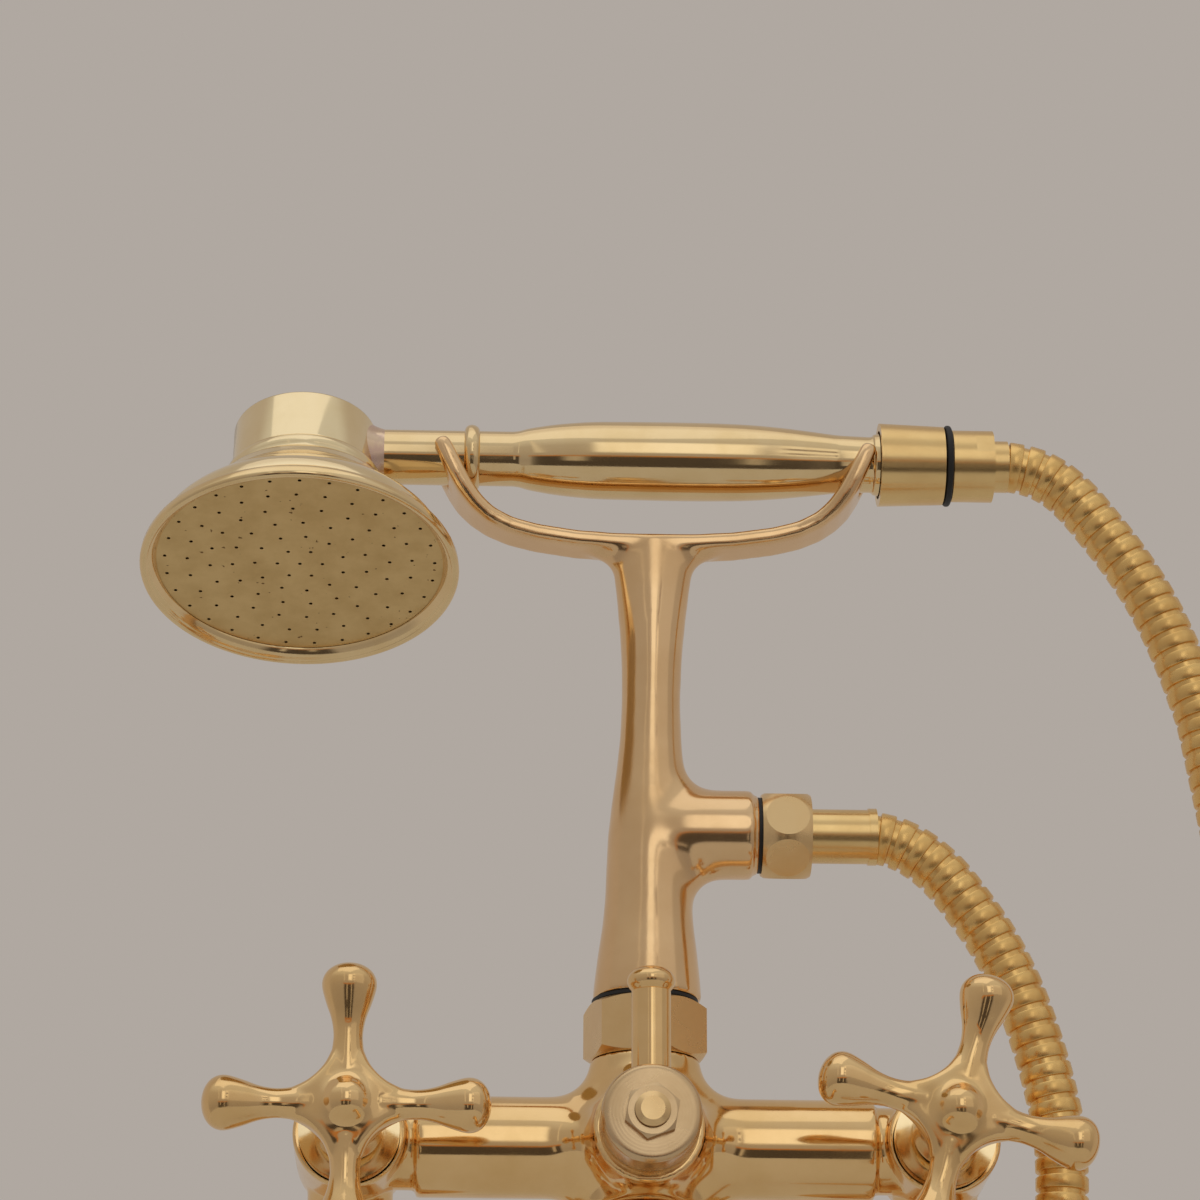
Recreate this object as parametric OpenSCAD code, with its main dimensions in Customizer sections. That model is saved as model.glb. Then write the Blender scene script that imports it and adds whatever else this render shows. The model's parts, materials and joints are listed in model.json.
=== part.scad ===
// Wall-mounted bath shower mixer with a hand shower lying in a cradle.
// Millimetres. The origin is on the wall, midway between the two inlets.
// X runs to the right, Y into the wall and Z up.

/* [Body] */
// Distance between the two valve axes, and between the two wall inlets
valve_centres = 170; // [168:1:200]
// Height of the barrel axis above the wall inlets
inlet_drop = 82; // [80:1:100]
// Distance of the barrel axis from the wall
body_out = 68; // [66:1:90]
// Diameter of the horizontal barrel
barrel_d = 28; // [26:0.5:29]
// Diameter of each valve bulb
bulb_d = 32.4; // [32:0.2:36]
// Diameter of the centre boss
boss_d = 31.6; // [31:0.2:33]

/* [Handles and lever] */
// Tip to tip width of a cross handle
handle_span = 80.4; // [78:0.2:81]
// Largest diameter of a handle arm, near its tip
ball_d = 15.4; // [13:0.2:16]
// Turn of the cold handle from upright
cold_turn = 15; // [0:1:45]
// Distance from the diverter axis to the top of the lever knob
lever_reach = 43.6; // [36:0.2:44]
// Diameter of the lever rod
lever_d = 11.2; // [8:0.2:12]

/* [Riser and cradle] */
// Height of the hand shower axis above the barrel axis
cradle_z = 215; // [205:1:230]
// Height of the side outlet above the barrel axis
outlet_z = 95.2; // [88:0.2:105]
// Across flats of the three union nuts
union_af = 32; // [31:0.5:36]
// Depth of the cradle strap from front to back
strap_w = 14; // [10:0.5:16]

/* [Hand shower] */
// Diameter of the rose over its rim
rose_d = 96; // [92:1:100]
// Turn of the rose towards the front about the handle
rose_tilt = 16; // [0:1:40]
// Largest diameter of the grip
grip_d = 23.9; // [20:0.1:25]
// Diameter of the handle tube
tube_d = 16.9; // [15:0.1:17.2]
// Diameter of one spray hole
spray_d = 1.1; // [0.8:0.1:1.4]

/* [Hose] */
// Outside diameter of the ribbed hose
hose_d = 15.5; // [15:0.1:15.8]
// Number of ribs along the hose
rib_count = 190; // [150:1:200]

/* [Spout] */
// Outside diameter of the spout tube
spout_d = 22; // [20:0.5:23]
// Level run of the spout between its two bends
spout_run = 50; // [30:1:90]

/* [Hidden] */
$fn = 64;

brass = [0.78, 0.62, 0.36];
rubber = [0.06, 0.06, 0.06];

// Clearance of parts that stay together, and of parts that move past each other
fit = 0.1;
run = 0.35;

// Main axes and radii
ay = -body_out;
vx = valve_centres / 2;
up = inlet_drop;
barrel_r = barrel_d / 2;
bulb_r = bulb_d / 2;
boss_r = boss_d / 2;

// Body: front and back of a bulb, boss ends, diverter seat and water ways
bulb_front = 18;
bulb_back = 24;
boss_top = 25.5;
boss_bottom = 18;
seat_out = 28;
way_r = 9;
chamber_r = 11.5;
chamber_floor = 3;
diverter_r = 11;
seat_hole_r = 6;
inlet_r = 7.5;
way_end = vx - 9.2;

// Inlet legs under the bulbs and the elbows that carry them to the wall
leg_y = ay + 11.5;
leg_r = 12.4;
leg_end = -31;
leg_bore_r = 6;
leg_nut_z = -49.7;
elbow_top = -39.4;
elbow_turn = 22;
wall_thread_r = 10.48;
wall_thread_len = 20;
flange_r = 33.4;
flange_h = 13;
flange_hole_r = leg_r + 0.3;

// Unions: thread radius, tail and flange of the captive side
thread_r = 13.1;
tail_r = 11;
tail_flange_r = 12.6;
union_bore_r = 8.5;
spigot_len = 10.5;
nut_h = 18.5;
riser_spigot = 9;
riser_nut_h = 17;

// Valve: bonnet, spindle and jumper
bonnet_r = 14.4;
bonnet_neck_r = 8;
spindle_r = 4.05;
jumper_r = 7.2;

// Cross handle: plane of the arms in front of the barrel axis
arm_out = 51;
arm_len = handle_span / 2;
arm_ball_r = ball_d / 2;
arm_tip_h = 6.2;

// Diverter: hub disc and lever
hub_r = 14.2;
hub_front = 46;
hub_back = 33;
lever_out = 39.5;
lever_r = lever_d / 2;
knob_r = 6.9;
knob_h = 4.4;
stud_r = 5;

// Riser: foot of the stem, waist and side outlet
foot_z = boss_top + riser_nut_h + 1.4;
branch_r = 13.2;
branch_x = 32;
nipple_r = 10.4;
hose_nut_af = 25.2;
hose_nut_x = 34.5;
hose_nut_len = 14.6;
outlet_step = 0.8;
cradle_shift = 3;
ferrule_x = 49.4;
ferrule_end = 68.8;

// Hand shower stations along X, measured from the stem
rose_x = -104.2;
collar_x = -55.3;
tube_r = tube_d / 2;
grip_r = grip_d / 2;
nut_x = 72;
ring_x = 91.9;
sleeve_x = 94.4;
sleeve_end = 106.9;
cuff_end = 111.6;
sleeve_r = 11.05;
rose_r = rose_d / 2;
neck_r = 21.9;
neck_wall = 1.7;
neck_end = -9.4;
cap_h = 7.8;
bell_end = -40;
plate_top = -41.8;
plate_h = 1.4;
rim_roll_r = 1.7;

// Spout: top of its tail, bends and open end
spout_top = -boss_bottom - spigot_len - 8.4;
bend_1 = 26;
bend_2 = 22;
bend_z = -60;
spout_tip = -bend_1 - spout_run - bend_2;
spout_end = bend_z - bend_1 - bend_2 - 10;

// Hose: bore, thin ends inside the ferrules
hose_r = hose_d / 2;
hose_bore_r = 5;
hose_end_r = 6.9;
socket_r = 7.3;
groove = 0.7;
hose_from = 97;
hose_to = 53.4;

// Centre line of the hose as X and Z, from the hand shower to the side outlet
upper_run = [[cuff_end, cradle_z], [119.8, cradle_z - 1.2], [127, cradle_z - 4.6],
    [132.9, cradle_z - 10], [137.5, cradle_z - 16.5], [146.1, cradle_z - 30],
    [153.6, cradle_z - 44.1], [159.4, cradle_z - 59], [163.9, cradle_z - 74.4], [167, cradle_z - 90]];
loop_run = [[176, 60], [189, -60], [198, -170], [202.3, -255], [203, -326], [194.4, -358],
    [171, -381.4], [139, -390], [107, -381.4], [83.6, -358], [75, -326], [76.5, -265],
    [85, -195], [99, -120], [112, -62], [119.5, -24]];
lower_run = [[120.6, outlet_z - 93], [117.8, outlet_z - 75.7], [113.6, outlet_z - 60.2],
    [108.5, outlet_z - 45.1], [101.9, outlet_z - 30.5], [94, outlet_z - 16.6],
    [89.5, outlet_z - 10], [83.6, outlet_z - 4.6], [76.4, outlet_z - 1.2],
    [ferrule_end, outlet_z]];
route = concat([[hose_from, cradle_z], [cuff_end - 7, cradle_z]], upper_run, loop_run, lower_run,
    [[ferrule_end - 7, outlet_z], [hose_to, outlet_z]]);

// Smooth curve through the route, and its length
function spline(p0, p1, p2, p3, t) = 0.5 * (2 * p1 + (p2 - p0) * t
    + (2 * p0 - 5 * p1 + 4 * p2 - p3) * t * t + (3 * p1 - p0 - 3 * p2 + p3) * t * t * t);
function at_end(i) = route[min(max(i, 0), len(route) - 1)];
fine = concat([for (i = [0 : len(route) - 2]) for (k = [0 : 7])
    spline(at_end(i - 1), at_end(i), at_end(i + 1), at_end(i + 2), k / 8)], [at_end(len(route))]);
run_len = [for (i = 0, s = 0; i < len(fine); i = i + 1,
    s = s + (i < len(fine) ? norm(fine[i] - fine[i - 1]) : 0)) s];
hose_len = run_len[len(fine) - 1];
x_of = [for (i = [0 : len(fine) - 1]) [run_len[i], fine[i][0]]];
z_of = [for (i = [0 : len(fine) - 1]) [run_len[i], fine[i][1]]];
function centre(s) = [lookup(s, x_of), lookup(s, z_of)];
function along(s) = let (d = centre(min(s + 1, hose_len)) - centre(max(s - 1, 0))) d / norm(d);
function ring(s, r) = let (c = centre(s), t = along(s))
    [for (k = [0 : 7]) let (a = 45 * k + 22.5)
        [c[0] - t[1] * r * cos(a), ay + r * sin(a), up + c[1] + t[0] * r * cos(a)]];

plain = cuff_end - hose_from;
pitch = (hose_len - 2 * plain - 1) / rib_count;
outer_at = concat([[0, hose_end_r], [plain, hose_end_r]],
    [for (i = [0 : rib_count - 1]) each [
        [plain + 0.5 + pitch * (i + 0.3), hose_r],
        [plain + 0.5 + pitch * (i + 0.85), hose_r - groove]]],
    [[hose_len - plain, hose_end_r], [hose_len, hose_end_r]]);
bore_steps = 96;
bore_at = [for (i = [0 : bore_steps]) hose_len * i / bore_steps];
outer_n = len(outer_at);
bore_n = len(bore_at);
hose_points = concat([for (o = outer_at) each ring(o[0], o[1])],
    [for (s = bore_at) each ring(s, hose_bore_r)]);
function skin(n, first, turn) = [for (i = [0 : n - 2]) for (k = [0 : 7])
    let (a = first + 8 * i + k, b = first + 8 * i + (k + 1) % 8, c = b + 8, d = a + 8)
    each (turn ? [[a, b, c], [a, c, d]] : [[a, c, b], [a, d, c]])];
function lid(outer, inner, turn) = [for (k = [0 : 7])
    let (a = outer + k, b = outer + (k + 1) % 8, c = inner + (k + 1) % 8, d = inner + k)
    each (turn ? [[a, b, c], [a, c, d]] : [[a, c, b], [a, d, c]])];
hose_faces = concat(skin(outer_n, 0, false), skin(bore_n, 8 * outer_n, true),
    lid(0, 8 * outer_n, true), lid(8 * (outer_n - 1), 8 * (outer_n + bore_n - 1), false));

// Least gap between stretches of the hose that are not neighbours
probe = [for (i = [0 : 125]) centre(hose_len * i / 125)];
self_gap = min([for (i = [0 : 125]) for (j = [0 : 125]) if (j > i + 8)
    norm(probe[i] - probe[j])]) - hose_d;
echo(hose_length = hose_len, hose_self_gap = self_gap, rib_pitch = pitch);

// Solid helpers: cylinders along one axis between two stations
module along_x(r, a, b) {
    translate([a, 0, 0])
        rotate([0, 90, 0])
            cylinder(h = b - a, r = r);
}

module along_y(r, a, b) {
    translate([0, a, 0])
        rotate([-90, 0, 0])
            cylinder(h = b - a, r = r);
}

module along_z(r, a, b) {
    translate([0, 0, a])
        cylinder(h = b - a, r = r);
}

// Points of a round corner in a profile
function corner(x, y, r, a, b) = [for (i = [0 : 6]) let (t = a + (b - a) * i / 6)
    [x + r * cos(t), y + r * sin(t)]];

// Chamfered hexagon prism standing on its flat end
module hexagon(af, h) {
    corner_r = af / 2 / cos(30);
    flat_r = af * 0.485;
    drop = (corner_r - flat_r) * 0.55;
    intersection() {
        cylinder(h = h, r = corner_r, $fn = 6);
        rotate_extrude()
            polygon([[0, 0], [flat_r, 0], [corner_r + 1, drop * 1.6], [corner_r + 1, h - drop * 1.6],
                [flat_r, h], [0, h]]);
    }
}

// Union nut with an inward lip at its top
module union_nut(lip_r, h) {
    lip_h = 3.5;
    difference() {
        hexagon(union_af, h);
        along_z(thread_r + fit, -1, h - lip_h);
        along_z(lip_r, 0, h + 1);
    }
}

module bulb() {
    back_round = 8;
    front_round = 2;
    rotate([90, 0, 0])
        rotate_extrude()
            polygon(concat([[0, -bulb_back]],
                corner(bulb_r - back_round, back_round - bulb_back, back_round, -90, 0),
                corner(bulb_r - front_round, bulb_front - front_round, front_round, 0, 90),
                [[0, bulb_front]]));
}

module at_valve(side) {
    translate([side * vx, ay, up])
        children();
}

module at_leg(side) {
    translate([side * vx, leg_y, up])
        children();
}

// Leg that hangs from a bulb, with the flange that its union nut pulls
module leg() {
    along_z(leg_r, leg_end, 0);
    along_z(tail_r, leg_end - 6.2, leg_end + 1);
    along_z(tail_flange_r, leg_end - 6.2, leg_end - 3.85);
}

// Web that rounds the inside corner between the barrel and the centre boss
module boss_web(r) {
    web_w = 10;
    half = concat([[0, 0], [0, barrel_r + r]],
        corner(boss_r + r, barrel_r + r, r, 180, 270), [[boss_r + r, 0]]);
    rotate([90, 0, 0])
        linear_extrude(height = web_w, center = true) {
            polygon(half);
            mirror([1, 0])
                polygon(half);
        }
}

module valve_body() {
    flare_from = 8;
    flare_to = 31;
    color(brass)
        difference() {
            union() {
                translate([0, ay, up]) {
                    along_x(barrel_r, -vx, vx);
                    for (side = [-1, 1])
                        rotate([0, side * 90, 0])
                            translate([0, 0, flare_from])
                                cylinder(h = flare_to - flare_from, r1 = boss_r - 0.3, r2 = barrel_r);
                    along_z(boss_r, -boss_bottom, boss_top);
                    boss_web(boss_top - barrel_r - 1.5);
                    mirror([0, 0, 1])
                        boss_web(boss_bottom - barrel_r - 0.5);
                    rotate([90, 0, 0])
                        boss_web(seat_out - barrel_r - 4);
                    along_y(boss_r, -seat_out, 0);
                    along_z(thread_r, boss_top - 1, boss_top + riser_spigot);
                    along_z(thread_r, -boss_bottom - spigot_len - 6, 1 - boss_bottom);
                }
                for (side = [-1, 1]) {
                    at_valve(side)
                        bulb();
                    at_leg(side)
                        leg();
                }
            }
            translate([0, ay, up]) {
                along_x(way_r, -way_end, way_end);
                along_z(way_r, -boss_bottom - spigot_len - 7, boss_top + spigot_len + 1);
                along_y(diverter_r, -seat_out - 1, 9);
            }
            for (side = [-1, 1]) {
                at_valve(side) {
                    along_y(bonnet_r + 0.8, -bulb_front - 1, 3.4 - bulb_front);
                    along_y(chamber_r, -bulb_front, chamber_floor);
                    along_y(seat_hole_r, 0, 10);
                    along_y(inlet_r, chamber_floor + 5, bulb_back - 5);
                }
                at_leg(side)
                    along_z(leg_bore_r, leg_end - 7, 0);
            }
        }
}

// Bonnet screwed into the valve chamber
module bonnet(side) {
    color(brass)
        at_valve(side)
            difference() {
                union() {
                    along_y(chamber_r - fit, -16, -4);
                    along_y(bonnet_r, -20.5, -16);
                    along_y(bonnet_neck_r, -36, -20.5);
                }
                along_y(spindle_r + run, -37, -3);
                along_y(jumper_r + 1, -12, -3);
                along_y(6.3, -33, -31);
            }
}

module hot_bonnet() {
    bonnet(-1);
}

module cold_bonnet() {
    bonnet(1);
}

// Sealing ring in a groove of the bonnet
module gland_ring(side) {
    color(rubber)
        at_valve(side)
            translate([0, -32, 0])
                rotate([90, 0, 0])
                    rotate_extrude()
                        translate([5.3, 0])
                            circle(r = 0.85);
}

module hot_gland_ring() {
    gland_ring(-1);
}

module cold_gland_ring() {
    gland_ring(1);
}

// Turning spindle with a hollow inner end
module spindle(side) {
    color(brass)
        at_valve(side)
            difference() {
                union() {
                    along_y(spindle_r, -54, -8.2);
                    along_y(6.2, -11.4, -8.2);
                }
                along_y(2.6, -32, -8);
            }
}

module hot_spindle() {
    spindle(-1);
}

module cold_spindle() {
    spindle(1);
}

// Sliding jumper that the spindle drives onto the seat
module jumper(side) {
    color(brass)
        at_valve(side) {
            along_y(2.25, -24, -3);
            along_y(jumper_r, -3.4, -0.4);
            along_y(1.4, -1, 1.5);
        }
}

module hot_jumper() {
    jumper(-1);
}

module cold_jumper() {
    jumper(1);
}

module jumper_washer(side) {
    color(rubber)
        at_valve(side)
            difference() {
                along_y(jumper_r, -0.3, 2.7);
                along_y(1.5, -1, 3);
            }
}

module hot_jumper_washer() {
    jumper_washer(-1);
}

module cold_jumper_washer() {
    jumper_washer(1);
}

// Cross handle: skirted hub and four pear-shaped arms
module cross_handle(side, turn) {
    skirt_r = bonnet_neck_r + 0.7;
    arm = concat([[0, 0], [8, 3], [7.8, 7], [6.4, 11], [4.9, 14.5], [4.2, 18], [4.2, arm_len - 20.6],
        [4.8, arm_len - 16.6], [arm_ball_r - 1.9, arm_len - 13],
        [arm_ball_r - 0.7, arm_len - 9.8]], [for (a = [0 : 15 : 90])
        [arm_ball_r * cos(a), arm_len - arm_tip_h * (1 - sin(a))]]);
    color(brass)
        at_valve(side)
            rotate([0, turn, 0])
                difference() {
                    union() {
                        rotate([90, 0, 0])
                            rotate_extrude()
                                polygon(concat([[0, 22.9], [10.3, 22.9], [10.2, 30], [10.2, 37],
                                    [11.2, 43], [12.2, 47]], corner(4.2, 51, 8.2, 0, 90), [[0, 59.6]]));
                        for (k = [0 : 3])
                            rotate([0, 90 * k, 0])
                                translate([0, -arm_out, 0])
                                    rotate_extrude()
                                        polygon(arm);
                    }
                    along_y(skirt_r, -37.2, -22);
                    along_y(spindle_r + fit, -54.3, -30);
                    rotate([0, 135, 0])
                        translate([0, -41, 0])
                            along_z(1.7, 0, 12);
                }
}

module hot_handle() {
    cross_handle(-1, 0);
}

module cold_handle() {
    cross_handle(1, cold_turn);
}

module grub_screw(side, turn) {
    color(brass)
        at_valve(side)
            rotate([0, turn + 135, 0])
                translate([0, -41, 0])
                    along_z(1.6, spindle_r + fit, 9.8);
}

module hot_grub_screw() {
    grub_screw(-1, 0);
}

module cold_grub_screw() {
    grub_screw(1, cold_turn);
}

module diverter_bonnet() {
    color(brass)
        translate([0, ay, up])
            difference() {
                union() {
                    along_y(14.3, -seat_out - 4.4, -seat_out - fit);
                    along_y(diverter_r - fit, -seat_out - 1, -22.6);
                }
                along_y(stud_r + run, -seat_out - 5, -22);
            }
}

// Hollow plug open to both sides and to one outlet, with the threaded spindle end
module diverter_plug() {
    window_r = 7.6;
    color(brass)
        translate([0, ay, up])
            difference() {
                union() {
                    along_y(diverter_r - run, -22.2, 8.4);
                    along_y(stud_r, -50, -22);
                    translate([0, -50, 0])
                        rotate([90, 0, 0])
                            cylinder(h = 1, r1 = stud_r, r2 = 3.4);
                }
                along_y(8, -19, 9);
                along_x(window_r, -12, 12);
                along_z(window_r, 0, 12);
            }
}

module diverter_hub() {
    color(brass)
        translate([0, ay, up])
            difference() {
                along_y(hub_r, -hub_front, -hub_back);
                along_y(stud_r + fit, -hub_front - 1, 1 - hub_back);
                translate([0, -lever_out, 0])
                    along_z(stud_r - 1 + fit, 6.5, hub_r + 1);
            }
}

// Lever rod with an oblate knob turned on its end
module lever_rod() {
    knob_z = lever_reach - knob_h;
    color(brass)
        translate([0, ay - lever_out, up]) {
            along_z(stud_r - 1, 7, hub_r + 1);
            difference() {
                along_z(lever_r, 8, knob_z - 2);
                along_y(hub_r + fit, -20, 20);
            }
            translate([0, 0, knob_z])
                rotate_extrude()
                    polygon(concat([[0, -knob_h]], [for (a = [-75 : 15 : 75])
                        [knob_r * cos(a), knob_h * sin(a)]], [[0, knob_h]]));
        }
}

module diverter_nut() {
    color(brass)
        translate([0, ay - hub_front - 0.05, up])
            rotate([90, 0, 0])
                difference() {
                    rotate([0, 0, 20])
                        hexagon(14.2, 2.6);
                    along_z(stud_r + fit, -1, 4);
                }
}

module riser_nut() {
    color(brass)
        translate([0, ay, up + boss_top + 0.2])
            rotate([0, 0, -15])
                union_nut(tail_r + 0.4, riser_nut_h);
}

module riser_seal() {
    seal_z = boss_top + riser_spigot;
    color(rubber)
        translate([0, ay, up])
            difference() {
                along_z(12.4, seal_z + fit, seal_z + 2);
                along_z(union_bore_r, seal_z, seal_z + 3);
            }
}

module riser_washer() {
    color(rubber)
        translate([0, ay, up])
            difference() {
                along_z(15.6, foot_z - 1.1, foot_z - fit);
                along_z(tail_r + fit, foot_z - 2, foot_z);
            }
}

// Outline of the cradle strap and its web on the stem, as X and Z from the handle axis
strap_top = [[0, -27], [10, -27], [20, -26.4], [29, -25.4], [38, -23.7], [45, -21.6], [51.5, -18],
    [56, -13], [60, -6.5], [63, -1], [65, 3]];
strap_low = [[66.8, 4], [68.2, 3], [67, -2.5], [64.5, -8], [61, -14], [56, -19.8], [50, -23],
    [43, -25.6], [33, -28.4], [24, -30.2], [18, -32.5], [14.6, -36], [12.4, -41], [10.2, -48],
    [8.2, -58], [6.4, -68], [0, -72]];
strap_half = concat(strap_top, strap_low);

module strap() {
    wide = 12.7;
    left_slot = tube_r + run;
    right_slot = tube_r * 1.06 + run;
    difference() {
        intersection() {
            rotate([90, 0, 0])
                linear_extrude(height = 40, center = true) {
                    polygon(strap_half);
                    mirror([1, 0])
                        polygon(strap_half);
                }
            translate([0, 0, -90])
                linear_extrude(height = 120)
                    polygon([[-72, -wide], [-57, -wide], [-46, -strap_w / 2], [46, -strap_w / 2],
                        [57, -wide], [72, -wide], [72, wide], [57, wide], [46, strap_w / 2],
                        [-46, strap_w / 2], [-57, wide], [-72, wide]]);
        }
        along_x(left_slot, -75, -45);
        translate([-75, -left_slot, 0])
            cube([30, 2 * left_slot, 20]);
        along_x(right_slot, 55, 75);
        translate([55, -right_slot, 0])
            cube([20, 2 * right_slot, 20]);
    }
}

// Riser casting: stem, side outlet with its threaded nipple, and cradle
module riser() {
    flange_z = boss_top + riser_spigot + 2.2;
    branch_bottom = outlet_z - 9;
    waist = cradle_z - 78;
    color(brass)
        translate([0, ay, up])
            difference() {
                union() {
                    along_z(tail_r, flange_z, foot_z + 1);
                    along_z(tail_flange_r, flange_z, flange_z + 2.35);
                    rotate_extrude()
                        polygon([[0, foot_z], [15.9, foot_z], [15.5, foot_z + 5],
                            [14.4, foot_z + 14], [13.3, foot_z + 22], [12.7, branch_bottom - 10],
                            [12.6, branch_bottom], [12.2, branch_bottom + 9],
                            [11.2, branch_bottom + 19], [10, branch_bottom + 29], [9.1, waist - 12],
                            [8.6, waist], [8.7, waist + 12], [9, waist + 30], [9.2, waist + 46],
                            [7, waist + 50.5], [0, waist + 50.5]]);
                    translate([cradle_shift, 0, cradle_z])
                        strap();
                    translate([0, 0, outlet_z]) {
                        along_x(branch_r, 0, branch_x);
                        along_x(branch_r - 1.4, branch_x - 1, branch_x + outlet_step);
                        along_x(nipple_r, branch_x - 1, branch_x + 10);
                    }
                }
                along_z(7.6, flange_z - 1, outlet_z);
                translate([0, 0, outlet_z]) {
                    along_x(7.5, 0, branch_x + 11);
                    sphere(r = 7.6);
                }
            }
}

module outlet_washer() {
    color(rubber)
        translate([0, ay, up + outlet_z])
            difference() {
                along_x(11.3, branch_x + outlet_step + fit, hose_nut_x - fit);
                along_x(nipple_r + fit, branch_x, hose_nut_x);
            }
}

// Hose nut turned to a ball, so that each flat is left as a round face
module hose_nut() {
    lip_x = 11;
    face_r = 6.4;
    color(brass)
        translate([hose_nut_x, ay, up + outlet_z])
            rotate([0, 90, 0])
                difference() {
                    intersection() {
                        rotate([0, 0, 48])
                            cylinder(h = hose_nut_len, r = hose_nut_af / 2 / cos(30), $fn = 6);
                        translate([0, 0, hose_nut_len / 2])
                            sphere(r = norm([hose_nut_af / 2, face_r]));
                    }
                    along_z(nipple_r + fit, -1, lip_x);
                    along_z(7.8, 0, hose_nut_len + 1);
                }
}

// Plain sleeve crimped on the lower hose end, with the flange that the nut pulls
module hose_ferrule_lower() {
    color(brass)
        translate([0, ay, up + outlet_z])
            difference() {
                union() {
                    along_x(10, branch_x + 11, branch_x + 12.8);
                    along_x(7.6, branch_x + 12, ferrule_x + 1);
                    along_x(8.1, ferrule_x, ferrule_end - 1);
                    along_x(8.5, ferrule_end - 2.4, ferrule_end);
                }
                along_x(hose_bore_r, branch_x + 10, ferrule_end);
                along_x(socket_r, hose_to - 0.4, ferrule_end + 1);
            }
}

module shower_hose() {
    color(brass)
        polyhedron(points = hose_points, faces = hose_faces, convexity = 10);
}

module hose_ferrule_upper() {
    color(brass)
        translate([0, ay, up + cradle_z])
            difference() {
                along_x(7.95, sleeve_end + fit, cuff_end);
                along_x(socket_r, sleeve_end, cuff_end + 1);
            }
}

// Turning sleeve on the hose end, with two spanner flats
module swivel_sleeve() {
    flat_at = 10.6;
    color(brass)
        translate([0, ay, up + cradle_z])
            difference() {
                union() {
                    along_x(8.7, 86.5, sleeve_x + 1);
                    along_x(sleeve_r, sleeve_x, sleeve_end);
                }
                along_x(hose_bore_r, 86, sleeve_end + 1);
                along_x(socket_r, hose_from - 0.4, sleeve_end + 1);
                for (half = [0, 180])
                    rotate([half - 20, 0, 0])
                        translate([sleeve_end - 5.6, -sleeve_r - 5, -10])
                            cube([7, sleeve_r + 5 - flat_at, 20]);
            }
}

module swivel_o_ring() {
    color(rubber)
        translate([ring_x, ay, up + cradle_z])
            rotate([0, 90, 0])
                rotate_extrude()
                    polygon(concat([[8.8, 0.2]], corner(11.6, 1.1, 0.9, -90, 0),
                        corner(11.6, 1.3, 0.9, 0, 90), [[8.8, 2.2]]));
}

module swivel_nut() {
    color(brass)
        translate([0, ay, up + cradle_z])
            difference() {
                translate([nut_x, 0, 0])
                    rotate([0, 90, 0])
                        cylinder(h = ring_x - 0.2 - nut_x, r1 = 12.8, r2 = 12.05);
                along_x(nipple_r + fit, nut_x - 1, nut_x + 11);
                along_x(7, nut_x, ring_x);
                along_x(8.7 + run, 86, ring_x + 1);
            }
}

// Handle tube cut to the inside of the rose neck, swelling into the grip, threaded at its other end
module handset_handle() {
    start_x = rose_x + neck_r - 4;
    color(brass)
        difference() {
            translate([0, ay, up + cradle_z])
                difference() {
                    rotate([0, 90, 0])
                        rotate_extrude()
                            polygon([[0, start_x], [tube_r, start_x], [tube_r, -40.7],
                                [tube_r + 0.9, -36], [grip_r - 0.85, -27], [grip_r - 0.25, -20],
                                [grip_r, -13], [grip_r, 14], [grip_r - 0.1, 22.6], [grip_r - 0.3, 32],
                                [grip_r - 0.95, 41], [(grip_r + tube_r) / 2, 49],
                                [tube_r * 1.075, 56.5],
                                [tube_r * 1.045, 60], [tube_r * 1.025, 67], [tube_r * 1.02, 69.4],
                                [9.6, nut_x - 0.2], [nipple_r, nut_x + 0.3], [nipple_r, nut_x + 10],
                                [0, nut_x + 10]]);
                    along_x(5.6, start_x - 1, nut_x + 11);
                }
            at_rose()
                along_z(neck_r - neck_wall, -20, 20);
        }
}

module handset_collar() {
    color(brass)
        translate([collar_x, ay, up + cradle_z])
            rotate([0, 90, 0])
                rotate_extrude()
                    polygon(concat([[tube_r + fit, 0]],
                        corner(tube_r + 0.1, 2.4, 1.85, -60, 60), [[tube_r + fit, 4.8]]));
}

module at_rose() {
    translate([rose_x, ay, up + cradle_z])
        rotate([-rose_tilt, 0, 0])
            children();
}

// Bead of solder round the tube where it meets the rose neck
module solder_bead() {
    color(brass)
        difference() {
            translate([rose_x, ay, up + cradle_z])
                rotate([0, 90, 0])
                    translate([0, 0, neck_r - 2.2])
                        cylinder(h = 4.4, r1 = tube_r + 3, r2 = tube_r + 0.7);
            at_rose() {
                along_z(neck_r + fit, -20, 20);
                along_z(neck_r + 6, -20, neck_end + fit);
            }
            translate([rose_x, ay, up + cradle_z])
                along_x(tube_r + fit, 10, 40);
        }
}

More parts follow.
